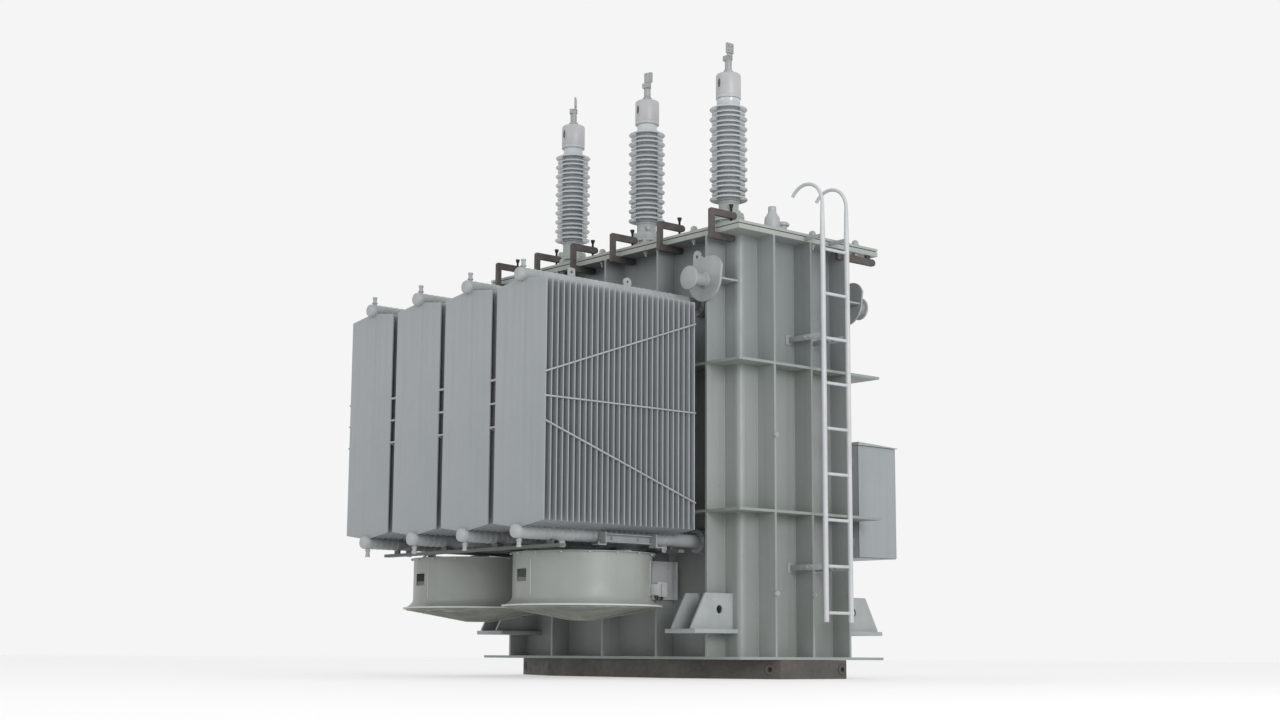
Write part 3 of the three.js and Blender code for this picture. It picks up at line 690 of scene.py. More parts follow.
def thicken(mesh, thick):
    """Gives an open sheet its thickness, inwards."""
    work = bmesh.new()
    work.from_mesh(mesh)
    bmesh.ops.recalc_face_normals(work, faces=work.faces)
    middles = [(f, f.calc_center_median()) for f in work.faces]
    outward = sum(f.normal.dot(Vector((middle.x, middle.y, 0))) for f, middle in middles)
    if outward < 0:
        bmesh.ops.reverse_faces(work, faces=work.faces)
    bmesh.ops.solidify(work, geom=work.faces[:], thickness=thick)
    bmesh.ops.recalc_face_normals(work, faces=work.faces)
    work.to_mesh(mesh)
    work.free()
    mesh.shade_smooth()
    mesh.set_sharp_from_angle(angle=radians(35))
    return mesh


def guard_shape(at, bottom):
    shape = Shape()
    rings = 22
    inner, outer = 0.03, 0.508
    drop_from = 0.092

    def height(radius):
        share = max(0.0, radius - drop_from) / (outer - drop_from)
        return bottom + 0.0035 + share * 0.078

    for i in range(rings):
        radius = inner + (outer - inner) * i / (rings - 1)
        thick = 0.0035 if i == rings - 1 else 0.0022
        shape.lathe(oval(thick, thick, 6, radius, height(radius)), at, 72, closed=True)
    for i in range(12):
        a = (i + 0.5) * tau / 12
        across = Vector((cos(a), sin(a), 0))
        path = [at @ (across * r + Vector((0, 0, height(r) + 0.004))) for r in (0.028, drop_from, 0.3, outer)]
        shape.tube(path, 0.003, 8)
    shape.lathe(lifted([(0, 0.001), (0.034, 0.001), (0.034, 0.005), (0, 0.005)], bottom), at, 32)
    return shape


def rotor_shape(at):
    shape = Shape()
    hub = [(0, 0.566), (0.05, 0.567), (0.076, 0.573), (0.088, 0.588), (0.09, 0.61), (0.084, 0.668)]
    hub += [(0.06, 0.67), (0.022, 0.672), (0.014, 0.676), (0.014, 0.689), (0, 0.689)]
    shape.lathe(hub, at, 40)
    shape.bolt_ring(at, 0.05, 6, 0.5665, 0.007, direction=DOWN)
    for i in range(6):
        turn = at @ turn_z(i * tau / 6)
        rows = []
        for s in range(9):
            share = s / 8
            radius = 0.078 + share * 0.36
            pitch = radians(40 - 16 * share)
            chord = 0.118 + 0.045 * share
            row = []
            for c in range(9):
                u = c / 8 - 0.5
                camber = 0.012 * (1 - 4 * u * u)
                local = Vector((radius, u * chord * cos(pitch) - camber * sin(pitch),
                                FAN_MIDDLE + u * chord * sin(pitch) + camber * cos(pitch)))
                thick = 0.0035 * sqrt(max(0.12, 1 - 4 * u * u))
                push = Vector((0, -sin(pitch), cos(pitch))) * thick
                place = turn @ local
                row.append((place, turn.to_3x3() @ push))
            rows.append(row)
        shape.slab(rows)
    return shape


def motor_shape(at, bottom, top):
    shape = Shape()
    lower = [(0, 0), (0.05, 0), (0.06, 0.004), (0.088, 0.01), (0.092, 0.02)]
    upper = [(0.092, -0.024), (0.086, -0.012), (0.06, -0.004), (0, 0)]
    shape.lathe(lifted(lower, bottom) + lifted(upper, top), at, 48)
    for i in range(28):
        turn = at @ turn_z(i * tau / 28)
        shape.block((0.088, -0.0018, bottom + 0.022), (0.104, 0.0018, top - 0.045), turn)
    arm_low = low("fan_motor_1").z
    flange_z = high("fan_shroud_1").z + 0.0003
    for i in range(4):
        turn = at @ turn_z(i * tau / 4)
        shape.block((0.08, -0.02, flange_z), (0.479, 0.02, flange_z + 0.005), turn)
        shape.block((0.08, -0.003, flange_z + 0.005), (0.44, 0.003, flange_z + 0.014), turn)
        for y in (0.01, -0.01):
            shape.bolt(turn @ Vector((0.468, y, flange_z + 0.005)), UP, 0.006)
    shape.block((0.09, -0.04, arm_low + 0.03), (0.104, 0.04, arm_low + 0.1), at @ turn_z(0.8))
    return shape


PLATE_X = 0.592
SWITCH_TURN = radians(50)


def fan_bracket(number, side, at):
    """One side's bracket plate with its two small boxes and their cable glands."""
    face = PLATE_X + 0.005

    def span(x0, x1, y0, y1, z0, z1):
        return (side * x0, y0, z0), (side * x1, y1, z1)

    plate = Shape()
    plate.block(*span(PLATE_X, face, -0.88, -0.562, 0.527, 0.788))
    plate.block(*span(PLATE_X, PLATE_X + 0.053, -0.562, -0.556, 0.527, 0.788))
    for z in (0.57, 0.745):
        plate.bolt((side * face, -0.6, z), (side, 0, 0), 0.009, 0.005)
    # Painted light: the bracket plate takes the pale paint, lighter than the frame it belongs to, to stand in
    # for the light it catches.
    piece(f"fan_{number}_bracket_plate", plate, pale_paint_and_painted_light, bevel=0.001)
    box = Shape()
    box.block(*span(face, face + 0.05, -0.742, -0.66, 0.548, 0.642))
    box.block(*span(face + 0.05, face + 0.056, -0.744, -0.658, 0.546, 0.644))
    piece(f"fan_{number}_terminal_box", box, box_plastic, bevel=0.0025)
    turned = at @ turn_z(pi / 2 - side * SWITCH_TURN)
    small = Shape()
    small.block((0.4635, -0.032, 0.54), (0.525, 0.032, 0.614), turned)
    small.block((0.525, -0.034, 0.538), (0.53, 0.034, 0.616), turned)
    piece(f"fan_{number}_switch_box", small, pipe_paint, bevel=0.002)
    glands = Shape()
    spots = [(Vector((side * (face + 0.022), y, 0)), 0.548) for y in (-0.72, -0.68)]
    spots += [(turned @ Vector((0.495, y, 0)), 0.54) for y in (-0.015, 0.015)]
    for spot, z in spots:
        foot, neck, tip = (spot + Vector((0, 0, h)) for h in (z, z - 0.01, z - 0.022))
        glands.rod(foot, neck, 0.011, 14, 0.001)
        glands.rod(neck, tip, 0.008, 14, 0.001)
    piece(f"fan_{number}_glands", glands, rubber)


def fans():
    for i in numbered("fan"):
        middle = centre(f"fan_shroud_{i}")
        at = standing(middle.x, middle.y)
        top = high(f"fan_shroud_{i}").z
        shroud = mesh_of(f"fan_{i}_drum", fan_shroud(at, top))
        for v in shroud.vertices:
            v.co -= Vector((middle.x, middle.y, 0))
        thicken(shroud, 0.004)
        piece(f"fan_{i}_drum", shroud, fan_paint, replaces=(f"fan_shroud_{i}",), at=at)
        trim = Shape()
        trim.bolt_ring(at, 0.4745, 16, top - 0.0045, 0.007, start=0.2, direction=DOWN)
        for spot in ring_points(DRUM_RADIUS, 3, 0, 0.6):
            turn = at @ turn_z(atan2(spot.y, spot.x))
            trim.weld([turn @ Vector((DRUM_RADIUS, 0, z)) for z in (0.535, top - 0.05)], 0.0022)
        trim.lathe(oval(0.006, 0.006, 8, LIP_RADIUS, 0.4695), at, SHROUD_SIDES, closed=True)
        piece(f"fan_{i}_trim", trim, pale_paint_and_painted_light)
        guard = guard_shape(at, low(f"fan_guard_{i}").z)
        piece(f"fan_{i}_wire_guard", guard, wire_zinc, replaces=(f"fan_guard_{i}",), smooth=60)
        rotor = rotor_shape(at)
        piece(f"fan_{i}_blades", rotor, fan_paint, f"fan_{i}_rotor",
              replaces=(f"fan_rotor_{i}",))
        motor = motor_shape(at, *heights(f"fan_motor_{i}"))
        piece(f"fan_{i}_motor", motor, fan_paint, replaces=(f"fan_motor_{i}",))
        fan_bracket(i, copysign(1, middle.x), at)


# ---- high-voltage bushings ----
SHEDS = 10
SHED_PITCH = 0.0734
LARGE_SHED = 0.136
SMALL_SHED = 0.121
CORE_RADIUS = 0.078
TAP_ANGLE = radians(-33)


def shed(radius, z):
    """The underside, rim and upper side of one shed, from its root up."""
    under = [(CORE_RADIUS, 0.002), (CORE_RADIUS + 0.006, -0.001), (radius - 0.010, -0.0085)]
    rim = [(radius - 0.003, -0.0095), (radius, -0.006), (radius - 0.0015, -0.0015)]
    return lifted(under + rim + [(CORE_RADIUS + 0.01, 0.0205), (CORE_RADIUS, 0.0265)], z)


def insulator_shape(at, foot, top, neck):
    collar_top = foot + 0.108
    first = collar_top + 0.021
    profile = [(0, collar_top), (0.07, collar_top), (CORE_RADIUS, collar_top + 0.004)]
    for i in range(SHEDS):
        z = first + i * SHED_PITCH
        profile += shed(LARGE_SHED, z)
        if i < SHEDS - 1:
            profile += shed(SMALL_SHED, z + SHED_PITCH / 2)
    last = first + (SHEDS - 1) * SHED_PITCH + 0.03
    profile += [(CORE_RADIUS, last), (neck, last + 0.008), (neck, top), (0, top)]
    return Shape().lathe(profile, at, 64)


def collar_shape(at, foot):
    """The metal foot of the bushing: bolted flange, collar and test tap."""
    shape = Shape()
    profile = [(0, 0), (0.106, 0), (0.108, 0.002), (0.108, 0.016), (0.106, 0.018), (0.078, 0.018)]
    profile += [(0.0715, 0.026), (0.071, 0.09), (0.075, 0.094), (0.075, 0.106), (0.07, 0.108), (0, 0.108)]
    shape.lathe(lifted(profile, foot), at, 56)
    shape.bolt_ring(at, 0.094, 8, foot + 0.018, 0.009, 0.008, 0.2)
    out = Vector((cos(TAP_ANGLE), sin(TAP_ANGLE), 0))
    tap = at @ (out * 0.066 + Vector((0, 0, foot + 0.056)))
    shape.rod(tap, tap + out * 0.018, 0.02, 28, 0.002)
    shape.rod(tap + out * 0.018, tap + out * 0.026, 0.0165, 8, 0.002)
    return shape


def turret_shape(at, foot, top):
    shape = Shape()
    lower = [(0.062, 0), (0.115, 0), (0.115, 0.018), (0.113, 0.02), (0.093, 0.02), (0.088, 0.026)]
    upper = [(0.088, -0.046), (0.094, -0.04), (0.11, -0.04), (0.112, -0.038), (0.112, -0.021)]
    upper += [(0.1095, -0.0195), (0.112, -0.018), (0.112, -0.002), (0.11, 0), (0.062, 0)]
    shape.lathe(lifted(lower, foot) + lifted(upper, top), at, 56, closed=True)
    shape.bolt_ring(at, 0.103, 12, foot + 0.02, 0.008, 0.006)
    shape.bolt_ring(at, 0.094, 8, top - 0.04, 0.009, 0.01, 0.2, DOWN)
    return shape


def head_shape(at, foot, top):
    lower = [(0, 0), (0.076, 0), (0.0885, 0.003), (0.09, 0.007), (0.09, 0.02), (0.0885, 0.0225)]
    lower.append((0.09, 0.025))
    upper = [(0.09, -0.02), (0.0865, -0.011), (0.078, -0.005), (0.05, -0.001), (0, 0)]
    return Shape().lathe(lifted(lower, foot) + lifted(upper, top), at, 56)


def sight_glass(at, z):
    """The head's oil gauge: a raised oval frame and its dark glass, on the side that faces -Y."""
    out = at @ Matrix.Translation((0, -0.0845, z)) @ Matrix.Rotation(pi / 2, 4, "X")
    rim = Shape().plate([oval(0.024, 0.046), oval(0.0155, 0.036)], 0.009, out)
    glass = Shape().plate([oval(0.016, 0.0365)], 0.0065, out, 0.001)
    return rim, glass


def terminal_shape(at, foot, top):
    shape = Shape()
    shape.rod(at @ Vector((0, 0, foot)), at @ Vector((0, 0, foot + 0.13)), 0.025, 32, 0.003)
    nut = [(0, 0), (0.036, 0), (0.036, 0.022), (0.032, 0.026), (0, 0.026)]
    shape.lathe(lifted(nut, foot), at, 6)
    upright = facing_x(at @ Matrix.Translation((0.008, 0, 0)))
    palm_low = foot + 0.097
    holes = [circle(x, top - z, 0.0065, 16) for x in (-0.017, 0.017) for z in (0.02, 0.056)]
    palm = rounded(-0.033, 0.033, foot + 0.148, top - 0.001, 0.006)
    shape.plate([palm] + holes, 0.013, upright)
    shape.plate([rounded(-0.02, 0.02, palm_low, foot + 0.152, 0.004)], 0.013, upright)
    shape.block((-0.03, -0.028, palm_low), (0.009, 0.028, palm_low + 0.036), at)
    for z in (palm_low + 0.01, palm_low + 0.028):
        for y in (-0.019, 0.019):
            shape.bolt(at @ Vector((0.021, y * 0.6, z)), at.to_3x3() @ Vector((1, 0, 0)), 0.006, 0.004)
    return shape


def bushings():
    palms = {m["name"]: m for m in frame["record"]["mounts"]}
    necks = (0.075, 0.075, 0.084)
    for i in numbered("bushing"):
        middle = centre(f"bushing_head_{i}")
        at = standing(middle.x, middle.y)
        turret = turret_shape(at, *heights(f"bushing_turret_{i}"))
        piece(f"bushing_{i}_turret", turret, tank_paint, replaces=(f"bushing_turret_{i}",))
        foot, top = heights(f"bushing_insulator_{i}")
        body = insulator_shape(at, foot, top, necks[i - 1])
        piece(f"bushing_{i}_porcelain", body, porcelain, smooth=50,
              replaces=(f"bushing_insulator_{i}",))
        piece(f"bushing_{i}_collar", collar_shape(at, foot), pipe_paint)
        foot, top = heights(f"bushing_head_{i}")
        head = head_shape(at, foot, top)
        piece(f"bushing_{i}_head", head, head_metal, replaces=(f"bushing_head_{i}",))
        rim, glass = sight_glass(at, foot + 0.107)
        piece(f"bushing_{i}_gauge_rim", rim, head_metal)
        piece(f"bushing_{i}_gauge_glass", glass, dark_glass)
        axis = palms[f"hv_palm_{i}"]["axis"]
        turned = standing(middle.x, middle.y, 0, atan2(axis[1], axis[0]))
        foot, top = heights(f"bushing_terminal_{i}")
        palm = terminal_shape(turned, foot, top)
        piece(f"bushing_{i}_terminal", palm, bare_metal, replaces=(f"bushing_terminal_{i}",))
        spot = centre(f"lv_bushing_{i}")
        low_voltage_bushing(i, standing(spot.x, spot.y), *heights(f"lv_bushing_{i}"))


def low_voltage_bushing(number, at, z, top):
    base = Shape()
    flange = [(0, 0), (0.077, 0), (0.078, 0.002), (0.078, 0.013), (0.076, 0.015), (0, 0.015)]
    base.lathe(lifted(flange, z), at, 40)
    base.bolt_ring(at, 0.064, 6, z + 0.015, 0.007, 0.005)
    piece(f"lv_bushing_{number}_flange", base, tank_paint)
    profile = lifted([(0, 0.013), (0.044, 0.013), (0.042, 0.024)], z)
    for step, radius in ((0.045, 0.06), (0.072, 0.057), (0.099, 0.054)):
        ledge = [(0.036, -0.004), (radius - 0.006, -0.007), (radius, -0.004), (radius - 0.002, 0)]
        profile += lifted(ledge + [(0.038, 0.011)], z + step)
    profile += lifted([(0.032, 0.122), (0.03, 0.13), (0, 0.13)], z)
    body = Shape().lathe(profile, at, 44)
    piece(f"lv_bushing_{number}_porcelain", body, porcelain, smooth=50,
          replaces=(f"lv_bushing_{number}",))
    stud = Shape().rod(at @ Vector((0, 0, z + 0.128)), at @ Vector((0, 0, top)), 0.0175, 28, 0.0015)
    for height in (0.132, 0.152):
        stud.lathe(lifted([(0, 0), (0.028, 0), (0.028, 0.014), (0, 0.014)], z + height), at, 6)
    piece(f"lv_bushing_{number}_stud", stud, bare_metal)


# ---- ladder ----
STILE_RADIUS = 0.02
HOOK_RADIUS = 0.0125
HOOK_SWEEP = 146


def ladder():
    box_low, box_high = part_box("ladder")
    x = box_high.x - STILE_RADIUS
    stiles = (box_low.y + STILE_RADIUS, box_high.y - STILE_RADIUS)
    hook = 0.155
    hook_z = box_high.z - STILE_RADIUS - hook
    frame_shape = Shape()
    for y in stiles:
        bend = arc(x - hook, hook_z, hook, 0, HOOK_SWEEP, 22)
        path = [(x, y, box_low.z), (x, y, 3.0), (x, y, hook_z - 0.06)] + [(bx, y, bz) for bx, bz in bend]
        radii = [STILE_RADIUS - 0.002, STILE_RADIUS - 0.002, HOOK_RADIUS + 0.002] + [HOOK_RADIUS] * len(bend)
        frame_shape.tube(path, radii, 24)
    for i in range(9):
        z = 0.438 + 0.310 * i
        frame_shape.rod((x, stiles[0] + 0.006, z), (x, stiles[1] - 0.006, z), 0.011, 18)
        for y, inward in ((stiles[0], 1), (stiles[1], -1)):
            bead = [(0.0105, 0.0), (0.0155, 0.0015), (0.0105, 0.006)]
            frame_shape.lathe(bead, aimed((x, y + inward * 0.0185, z), (0, inward, 0)), 16, closed=True)
    piece("ladder_frame", frame_shape, pale_paint_and_painted_light, replaces=("ladder",))
    arms = Shape()
    wall = 1.2383
    for y in stiles:
        for z in (0.745, 2.320):
            arms.block((wall + 0.006, y - 0.004, z - 0.019), (x - 0.012, y + 0.004, z + 0.019))
            arms.block((wall, y - 0.03, z - 0.035), (wall + 0.006, y + 0.03, z + 0.035))
            arms.block((x - 0.19, y + 0.004, z - 0.017), (x - 0.1, y + 0.011, z + 0.017))
            for bx in (x - 0.17, x - 0.12):
                arms.bolt((bx, y - 0.004, z), (0, -1, 0), 0.009, 0.006)
        arms.block((1.4015, y - 0.004, 2.998), (x - 0.012, y + 0.004, 3.025))
    piece("ladder_arms", arms, pipe_paint, bevel=0.0012)


# ---- lifting trunnions and jacking brackets ----
def mirrored_mesh(name, shape, sx, sy, bevel=0.0):
    """The corner's own copy of a piece drawn for the +X, +Y corner."""
    mesh = mesh_of(name, shape, bevel)
    mesh.transform(Matrix.Diagonal((sx, sy, 1, 1)))
    if sx * sy < 0:
        mesh.flip_normals()
    return mesh


def trunnion_shape(face, x, z):
    shape = Shape()
    outline = [(x + 0.168, 2.77)] + arc(x + 0.07, 2.742, 0.098, 16, 85, 8)
    outline += arc(x + 0.02, 2.78, 0.06, 85, 120, 3)
    outline += [(x - 0.045, 2.862)] + arc(x - 0.077, 2.862, 0.034, 20, 180, 8) + [(x - 0.113, 2.80)]
    outline += [(x - 0.15, 2.76)] + arc(x, z + 0.014, 0.158, 180, 360, 26)
    shape.plate([outline, circle(x - 0.076, 2.852, 0.015, 18)], 0.016, upright_y(face), 0.0025)
    reach = face + 0.15
    shape.rod((x, face + 0.01, z), (x, reach + 0.004, z), 0.045, 40)
    bead = [(0.044, 0.0), (0.054, 0.0), (0.051, 0.006), (0.044, 0.009)]
    shape.lathe(bead, aimed((x, face + 0.016, z), (0, 1, 0)), 40, closed=True)
    shape.lathe(bead, aimed((x, reach, z), (0, -1, 0)), 40, closed=True)
    shape.rod((x, reach, z), (x, reach + 0.014, z), 0.082, 48, 0.003)
    shape.block((x + 0.01, 0.5305, z - 0.006), (1.226, face + 0.006, z + 0.006))
    return shape


def jacking_shape():
    shape = Shape()
    wall, out, top = 0.5303, 0.906, 0.325
    thick = 0.028
    notch = 0.0095
    lift = Matrix.Translation((0, 0, top - thick))
    near, far = CORNER_STIFFENER - notch, CORNER_STIFFENER + notch
    outline = [(0.9, wall), (near, wall), (near, 0.6935), (far, 0.6935), (far, wall), (1.21, wall)]
    outline += [(1.21, out - 0.01), (1.2, out), (0.91, out), (0.9, out - 0.01)]
    shape.plate([outline], thick, lift, 0.002)
    side = [(wall, top), (out - 0.006, top), (out - 0.006, top + 0.012), (0.776, 0.56), (wall, 0.56)]
    for x in (0.96, 1.145):
        shape.plate([side, circle(0.65, 0.455, 0.03, 26)], 0.018, upright_x(x), 0.002)
        for bead in (x - 0.001, x + 0.019):
            shape.weld([(bead, wall + 0.01, top + 0.002), (bead, out - 0.012, top + 0.002)], 0.004)
    return shape


def corner_pieces():
    corners = ((1, -1), (-1, -1), (-1, 1), (1, 1))
    for i, (sx, sy) in enumerate(corners, 1):
        name = f"trunnion_{i}"
        mesh = mirrored_mesh(name, trunnion_shape(CORNER_FACE, CORNER_STIFFENER, 2.678), sx, sy)
        piece(name, mesh, pipe_paint, replaces=(f"lifting_trunnion_{i}",))
        name = f"jacking_pad_{i}"
        mesh = mirrored_mesh(name, jacking_shape(), sx, sy)
        piece(name, mesh, pipe_paint, replaces=(f"jacking_bracket_{i}",))


# ---- cabinet ----
HANDLE_X = 1.12
HANDLE_Z = 1.26
HINGE_Y = 1.107


def cabinet():
    box_low, box_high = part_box("cabinet_door")
    x0, x1 = 0.640, 1.180
    y0, front = 0.700, box_low.y - 0.0005
    z0, z1 = low("cabinet_body").z, 1.652
    sheet = 0.004
    shell = Shape()
    for x, z, right, back, top in (
        (x0, z0, x1, y0 + sheet, z1),
        (x0, z0, x0 + sheet, front, z1),
        (x1 - sheet, z0, x1, front, z1),
        (x0, z0, x1, front, z0 + sheet),
        (x0, z1 - sheet, x1, front, z1),
    ):
        shell.block((x, y0, z), (right, back, top))
    for x in (x0 + sheet, x1 - sheet - 0.02):
        shell.block((x, front - sheet, z0 + 0.004), (x + 0.02, front, z1 - 0.004))
    for z in (z0 + sheet, z1 - sheet - 0.02):
        shell.block((x0 + 0.02, front - sheet, z), (x1 - 0.02, front, z + 0.02))
    for z in (0.96, 1.53):
        for x in (1.04, 1.114):
            shell.block((x - 0.02, 0.6935, z - 0.03), (x + 0.02, y0 + 0.001, z + 0.03))
    piece("cabinet_case", shell, radiator_paint, replaces=("cabinet_body",), bevel=0.0012)
    roof = Shape()
    slope = [(y0 - 0.002, z1 + 0.001), (1.117, z1 + 0.001), (1.117, z1 + 0.004), (y0 - 0.002, z1 + 0.022)]
    roof.plate([slope], x1 - x0 + 0.022, upright_x(x0 - 0.011), 0.0008)
    piece("cabinet_roof", roof, pipe_paint)
    inside = Shape()
    inside.block((x0 + 0.06, y0 + sheet, z0 + 0.12), (x1 - 0.06, y0 + 0.012, z1 - 0.12))
    for k in range(3):
        z = z0 + 0.2 + 0.17 * k
        inside.block((x0 + 0.09, y0 + 0.012, z), (x1 - 0.09, y0 + 0.02, z + 0.035))
        for n in range(8):
            x = x0 + 0.1 + n * 0.04
            inside.block((x, y0 + 0.02, z - 0.03), (x + 0.034, y0 + 0.075, z + 0.06))
    piece("cabinet_gear", inside, box_plastic, bevel=0.001)
    door = Shape()
    spindle = circle(HANDLE_X, HANDLE_Z, 0.0095, 16)
    outline = rounded(box_low.x, box_high.x, box_low.z, box_high.z, 0.006)
    door.plate([outline, spindle], 0.003, upright_y(box_high.y - 0.003), 0.0008)
    inner = box_high.y - 0.002
    for x in (box_low.x, box_high.x - 0.003):
        door.block((x, box_low.y, box_low.z), (x + 0.003, inner, box_high.z))
    for z in (box_low.z, box_high.z - 0.003):
        door.block((box_low.x, box_low.y, z), (box_high.x, inner, z + 0.003))
    piece("cabinet_door_leaf", door, radiator_paint, "door", replaces=("cabinet_door",))
    hinges = Shape()
    leaves = Shape()
    for z in (z0 + 0.12, (z0 + z1) / 2, z1 - 0.12):
        hinges.rod((x0, HINGE_Y, z - 0.03), (x0, HINGE_Y, z - 0.001), 0.006, 14, 0.001)
        leaves.rod((x0, HINGE_Y, z + 0.001), (x0, HINGE_Y, z + 0.03), 0.006, 14, 0.001)
        leaves.block((x0, 1.1032, z + 0.002), (x0 + 0.03, 1.1062, z + 0.029))
    piece("cabinet_hinges", hinges, bare_metal)
    piece("cabinet_hinge_leaves", leaves, bare_metal, "door")
    lever = Shape()
    lever.rod((HANDLE_X, 1.0745, HANDLE_Z), (HANDLE_X, 1.117, HANDLE_Z), 0.008, 18, 0.001)
    lever.rod((HANDLE_X, 1.1034, HANDLE_Z), (HANDLE_X, 1.118, HANDLE_Z), 0.02, 28, 0.002)
    grip = rounded(HANDLE_X - 0.0115, HANDLE_X + 0.0115, HANDLE_Z - 0.094, HANDLE_Z + 0.019, 0.0095)
    lever.plate([grip], 0.0155, upright_y(1.117), 0.004)
    lever.block((1.1, 1.0757, 1.24), (1.14, 1.0787, 1.28))
    piece("cabinet_lever", lever, black_steel, "handle", replaces=("door_handle",))


# ---- clamps ----
def clamp_shape(box_low, box_high):
    """A forged C with eased edges; drawn in (y, z) and spread along X."""
    back, bottom, top = box_low.y, box_low.z, box_high.z
    end = box_high.y
    arm = 0.044
    post = back + 0.036
    inner = 0.012
    outline = [(back, bottom)] + arc(-0.557, bottom + 0.012, 0.012, -90, 0, 4) + [(-0.545, RIM_UNDER)]
    outline += [(post + 0.002, RIM_UNDER), (post, RIM_UNDER + 0.002)]
    outline += arc(post + inner, top - arm - inner, inner, 180, 90, 4)
    outline += [(end - 0.03, top - arm)] + arc(end - 0.022, top - 0.022, 0.022, -90, 90, 12)
    outline += [(back + 0.008, top), (back, top - 0.008)]
    shape = Shape()
    shape.plate([outline], 0.028, upright_x(box_low.x), 0.0025)
    return shape


def screw_shape(middle, foot, top):
    profile = [(0, foot), (0.0075, foot), (0.0085, foot + 0.001)]
    turns = int((top - 0.03 - foot - 0.004) / 0.003)
    for i in range(turns):
        z = foot + 0.002 + i * 0.003
        profile += [(0.0085, z), (0.0073, z + 0.0015)]
    knob = [(0.008, -0.03), (0.0105, -0.026), (0.0165, -0.006), (0.017, -0.003), (0.0155, 0), (0.006, 0)]
    knob += [(0.0055, -0.004), (0, -0.004)]
    return Shape().lathe(profile + lifted(knob, top), standing(middle.x, middle.y), 20)


def clamps():
    for i in numbered("clamp"):
        box_low, box_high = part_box(f"clamp_frame_{i}")
        body = clamp_shape(box_low, box_high)
        piece(f"clamp_{i}_frame", body, clamp_steel, replaces=(f"clamp_frame_{i}",))
        middle = centre(f"clamp_screw_{i}")
        screw = screw_shape(middle, *heights(f"clamp_screw_{i}"))
        piece(f"clamp_{i}_spindle", screw, black_steel, f"clamp_{i}_screw",
              replaces=(f"clamp_screw_{i}",), smooth=50)


# ---- small fittings on the tank ----
def rim_bolts():
    """Through-bolts with rounded caps along the rim, and one tapered fitting."""
    top = high("tank_cover").z
    shape = Shape()
    spots = [(x, y) for y in (-0.653, 0.653) for x in (-1.0, -0.55, -0.08, 0.405, 0.912)]
    spots += [(x, y) for x in (-1.362, 1.362) for y in (-0.33, 0.06, 0.5)]
    for x, y in spots:
        if x > 1.3 and y < -0.2:
            continue
        at = standing(x, y, top)
        cap = [(0, 0), (0.03, 0), (0.031, 0.004), (0.031, 0.008), (0.023, 0.01), (0.024, 0.024)]
        shape.lathe(cap + [(0.02, 0.035), (0.011, 0.042), (0, 0.0435)], at, 28)
        shape.bolt((x, y, RIM_UNDER), DOWN, 0.017, 0.02)
    piece("rim_bolts", shape, pipe_paint)
    fitting = Shape()
    at = standing(1.325, -0.30, top)
    profile = [(0, 0), (0.07, 0), (0.071, 0.003), (0.071, 0.014), (0.056, 0.016), (0.054, 0.07)]
    profile += [(0.051, 0.086), (0.036, 0.108), (0.029, 0.122), (0.0275, 0.13), (0.0285, 0.132)]
    fitting.lathe(profile + [(0.0285, 0.158), (0.026, 0.163), (0, 0.164)], at, 44)
    for spot in ring_points(0.063, 6, top + 0.014):
        fitting.bolt(Vector((1.325, -0.30, 0)) + spot, UP, 0.005)
    disc = [(0, 0), (0.03, 0), (0.03, 0.03), (0.045, 0.034), (0.047, 0.04), (0.045, 0.05), (0.03, 0.06)]
    disc.append((0, 0.066))
    fitting.lathe(disc, standing(1.352, -0.225, top), 36)
    piece("rim_fitting", fitting, pipe_paint)


def rim_bar():
    """The rounded steel bar that lies under the rim at the far end."""
    shape = Shape()
    outline = arc(0.665, 2.951, 0.022, -90, 90, 12) + [(0.30, 2.973), (0.30, 2.929)]
    shape.plate([outline], 0.03, upright_x(1.355), 0.003)
    shape.block((1.36, 0.32, 2.972), (1.38, 0.36, 2.9958))
    shape.block((1.36, 0.60, 2.972), (1.38, 0.64, 2.9958))
    piece("rim_bar", shape, clamp_steel)


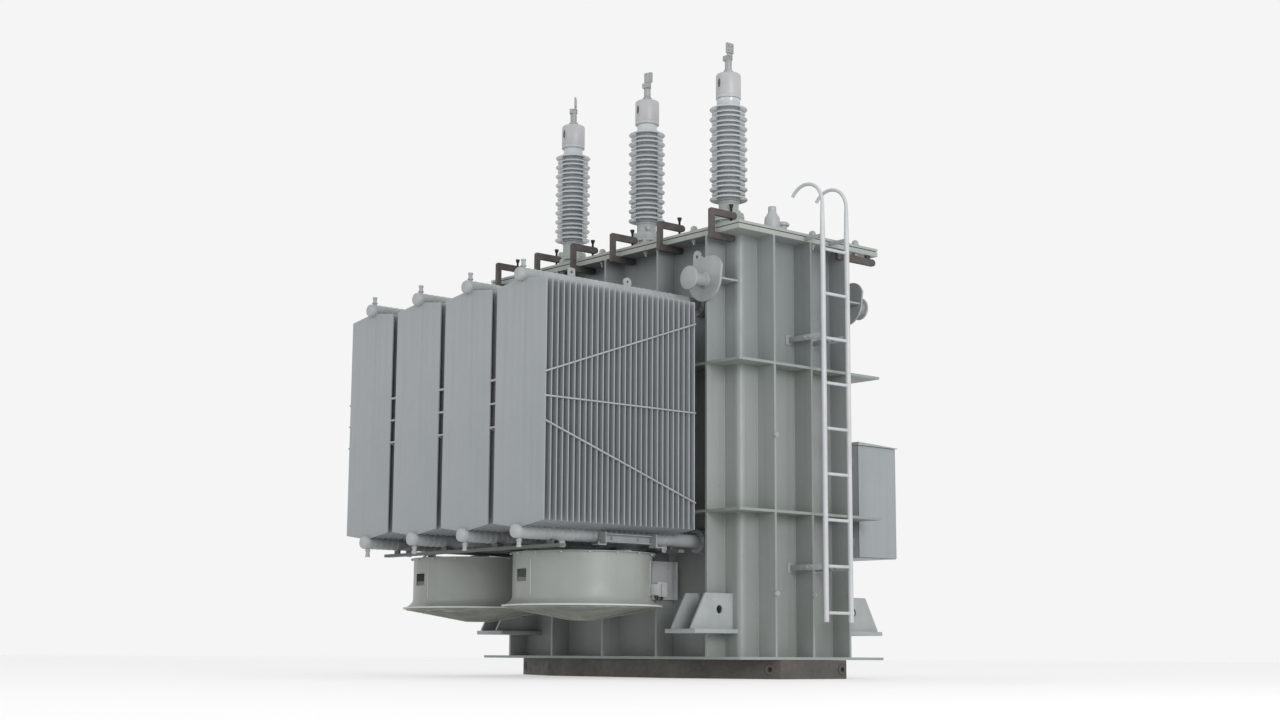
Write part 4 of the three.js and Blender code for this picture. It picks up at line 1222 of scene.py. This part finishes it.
def wall_fittings():
    """Radiator valves at the wall, bosses on the end stiffeners and rings round the towing holes."""
    valves = Shape()
    for i in numbered("radiator"):
        x = centre(f"radiator_{i}").x
        for z, _ in HEADERS:
            ring = [(0.05, 0.0), (0.0835, 0.0), (0.0835, 0.012), (0.078, 0.016), (0.078, 0.024)]
            ring += [(0.0835, 0.028), (0.0835, 0.0398), (0.05, 0.0398)]
            valves.lathe(ring, aimed((x, -0.5302, z), (0, -1, 0)), 48, closed=True)
            valves.rod((x + 0.05, -0.55, z + 0.06), (x + 0.085, -0.55, z + 0.1), 0.009, 14, 0.001)
            valves.rod((x + 0.08, -0.55, z + 0.095), (x + 0.09, -0.55, z + 0.108), 0.014, 6, 0.001)
    piece("radiator_valves", valves, pipe_paint)
    bosses = Shape()
    for y, z in ((-0.358, 0.56), (0.0, 0.56), (0.358, 0.56), (-0.358, 1.62), (0.358, 1.62)):
        for side in SIDES:
            bosses.rod((side * 1.395, y, z), (side * 1.418, y, z), 0.017, 22, 0.002)
            bosses.bolt((side * 1.417, y, z), (side, 0, 0), 0.009)
    piece("end_bosses", bosses, pipe_paint)
    rings = Shape()
    eye = [(0.0165, 0.0), (0.036, 0.0), (0.036, 0.004), (0.034, 0.006), (0.0185, 0.006), (0.0165, 0.004)]
    slope = atan2(0.330, 0.730)
    for sx in SIDES:
        for sy in SIDES:
            out = Vector((sx * sin(slope), sy * cos(slope), 0))
            spot = Vector((sx * 1.329, sy * 0.3498, 0.063)) + out * 0.0002
            rings.lathe(eye, aimed(spot, out), 32, closed=True)
        rings.lathe(eye, aimed((sx * 1.3952, sx * 0.276, 0.063), (sx, 0, 0)), 32, closed=True)
    piece("towing_rings", rings, skid_paint)


def weld_beads():
    """Fillet welds where the end and side stiffeners meet the walls."""
    beads = Shape()
    tiers = ((0.146, 1.099), (1.119, 2.101), (2.121, 2.995))
    for low_z, high_z in tiers:
        for y in (-0.358, 0.0, 0.358):
            for side in SIDES:
                for flank in SIDES:
                    x = side * 1.2385
                    edge = y + flank * 0.0095
                    beads.weld([(x, edge, low_z), (x, edge, high_z)], 0.0045)
        for x in (-CORNER_STIFFENER, -0.574, 0.0, 0.574, CORNER_STIFFENER):
            for side in SIDES:
                for flank in SIDES:
                    edge = x + flank * 0.0095
                    beads.weld([(edge, side * 0.5305, low_z), (edge, side * 0.5305, high_z)], 0.0045)
    piece("weld_beads", beads, tank_paint, smooth=70)


def floor():
    shape = Shape()
    shape.plate([circle(0, 0, 60.0, 96)], 0.02, Matrix.Translation((0, 0, -0.0205)), 0.002)
    mesh = mesh_of("floor", shape)
    pale = surface("floor_pale", (0.36, 0.36, 0.36), (0.35, 0.35, 0.35), 0.5, (0.75, 0.85))
    glow = pale.node_tree.nodes["Principled BSDF"]
    glow.inputs["Emission Color"].default_value = (1, 1, 1, 1)
    glow.inputs["Emission Strength"].default_value = 0.49
    mesh.materials.append(pale)
    made = bpy.data.objects.new("floor", mesh)
    bpy.context.scene.collection.objects.link(made)


camera()
studio()
floor()
keep_cad()
radiators()
fans()
bushings()
ladder()
corner_pieces()
cabinet()
clamps()
rim_bolts()
rim_bar()
wall_fittings()
weld_beads()
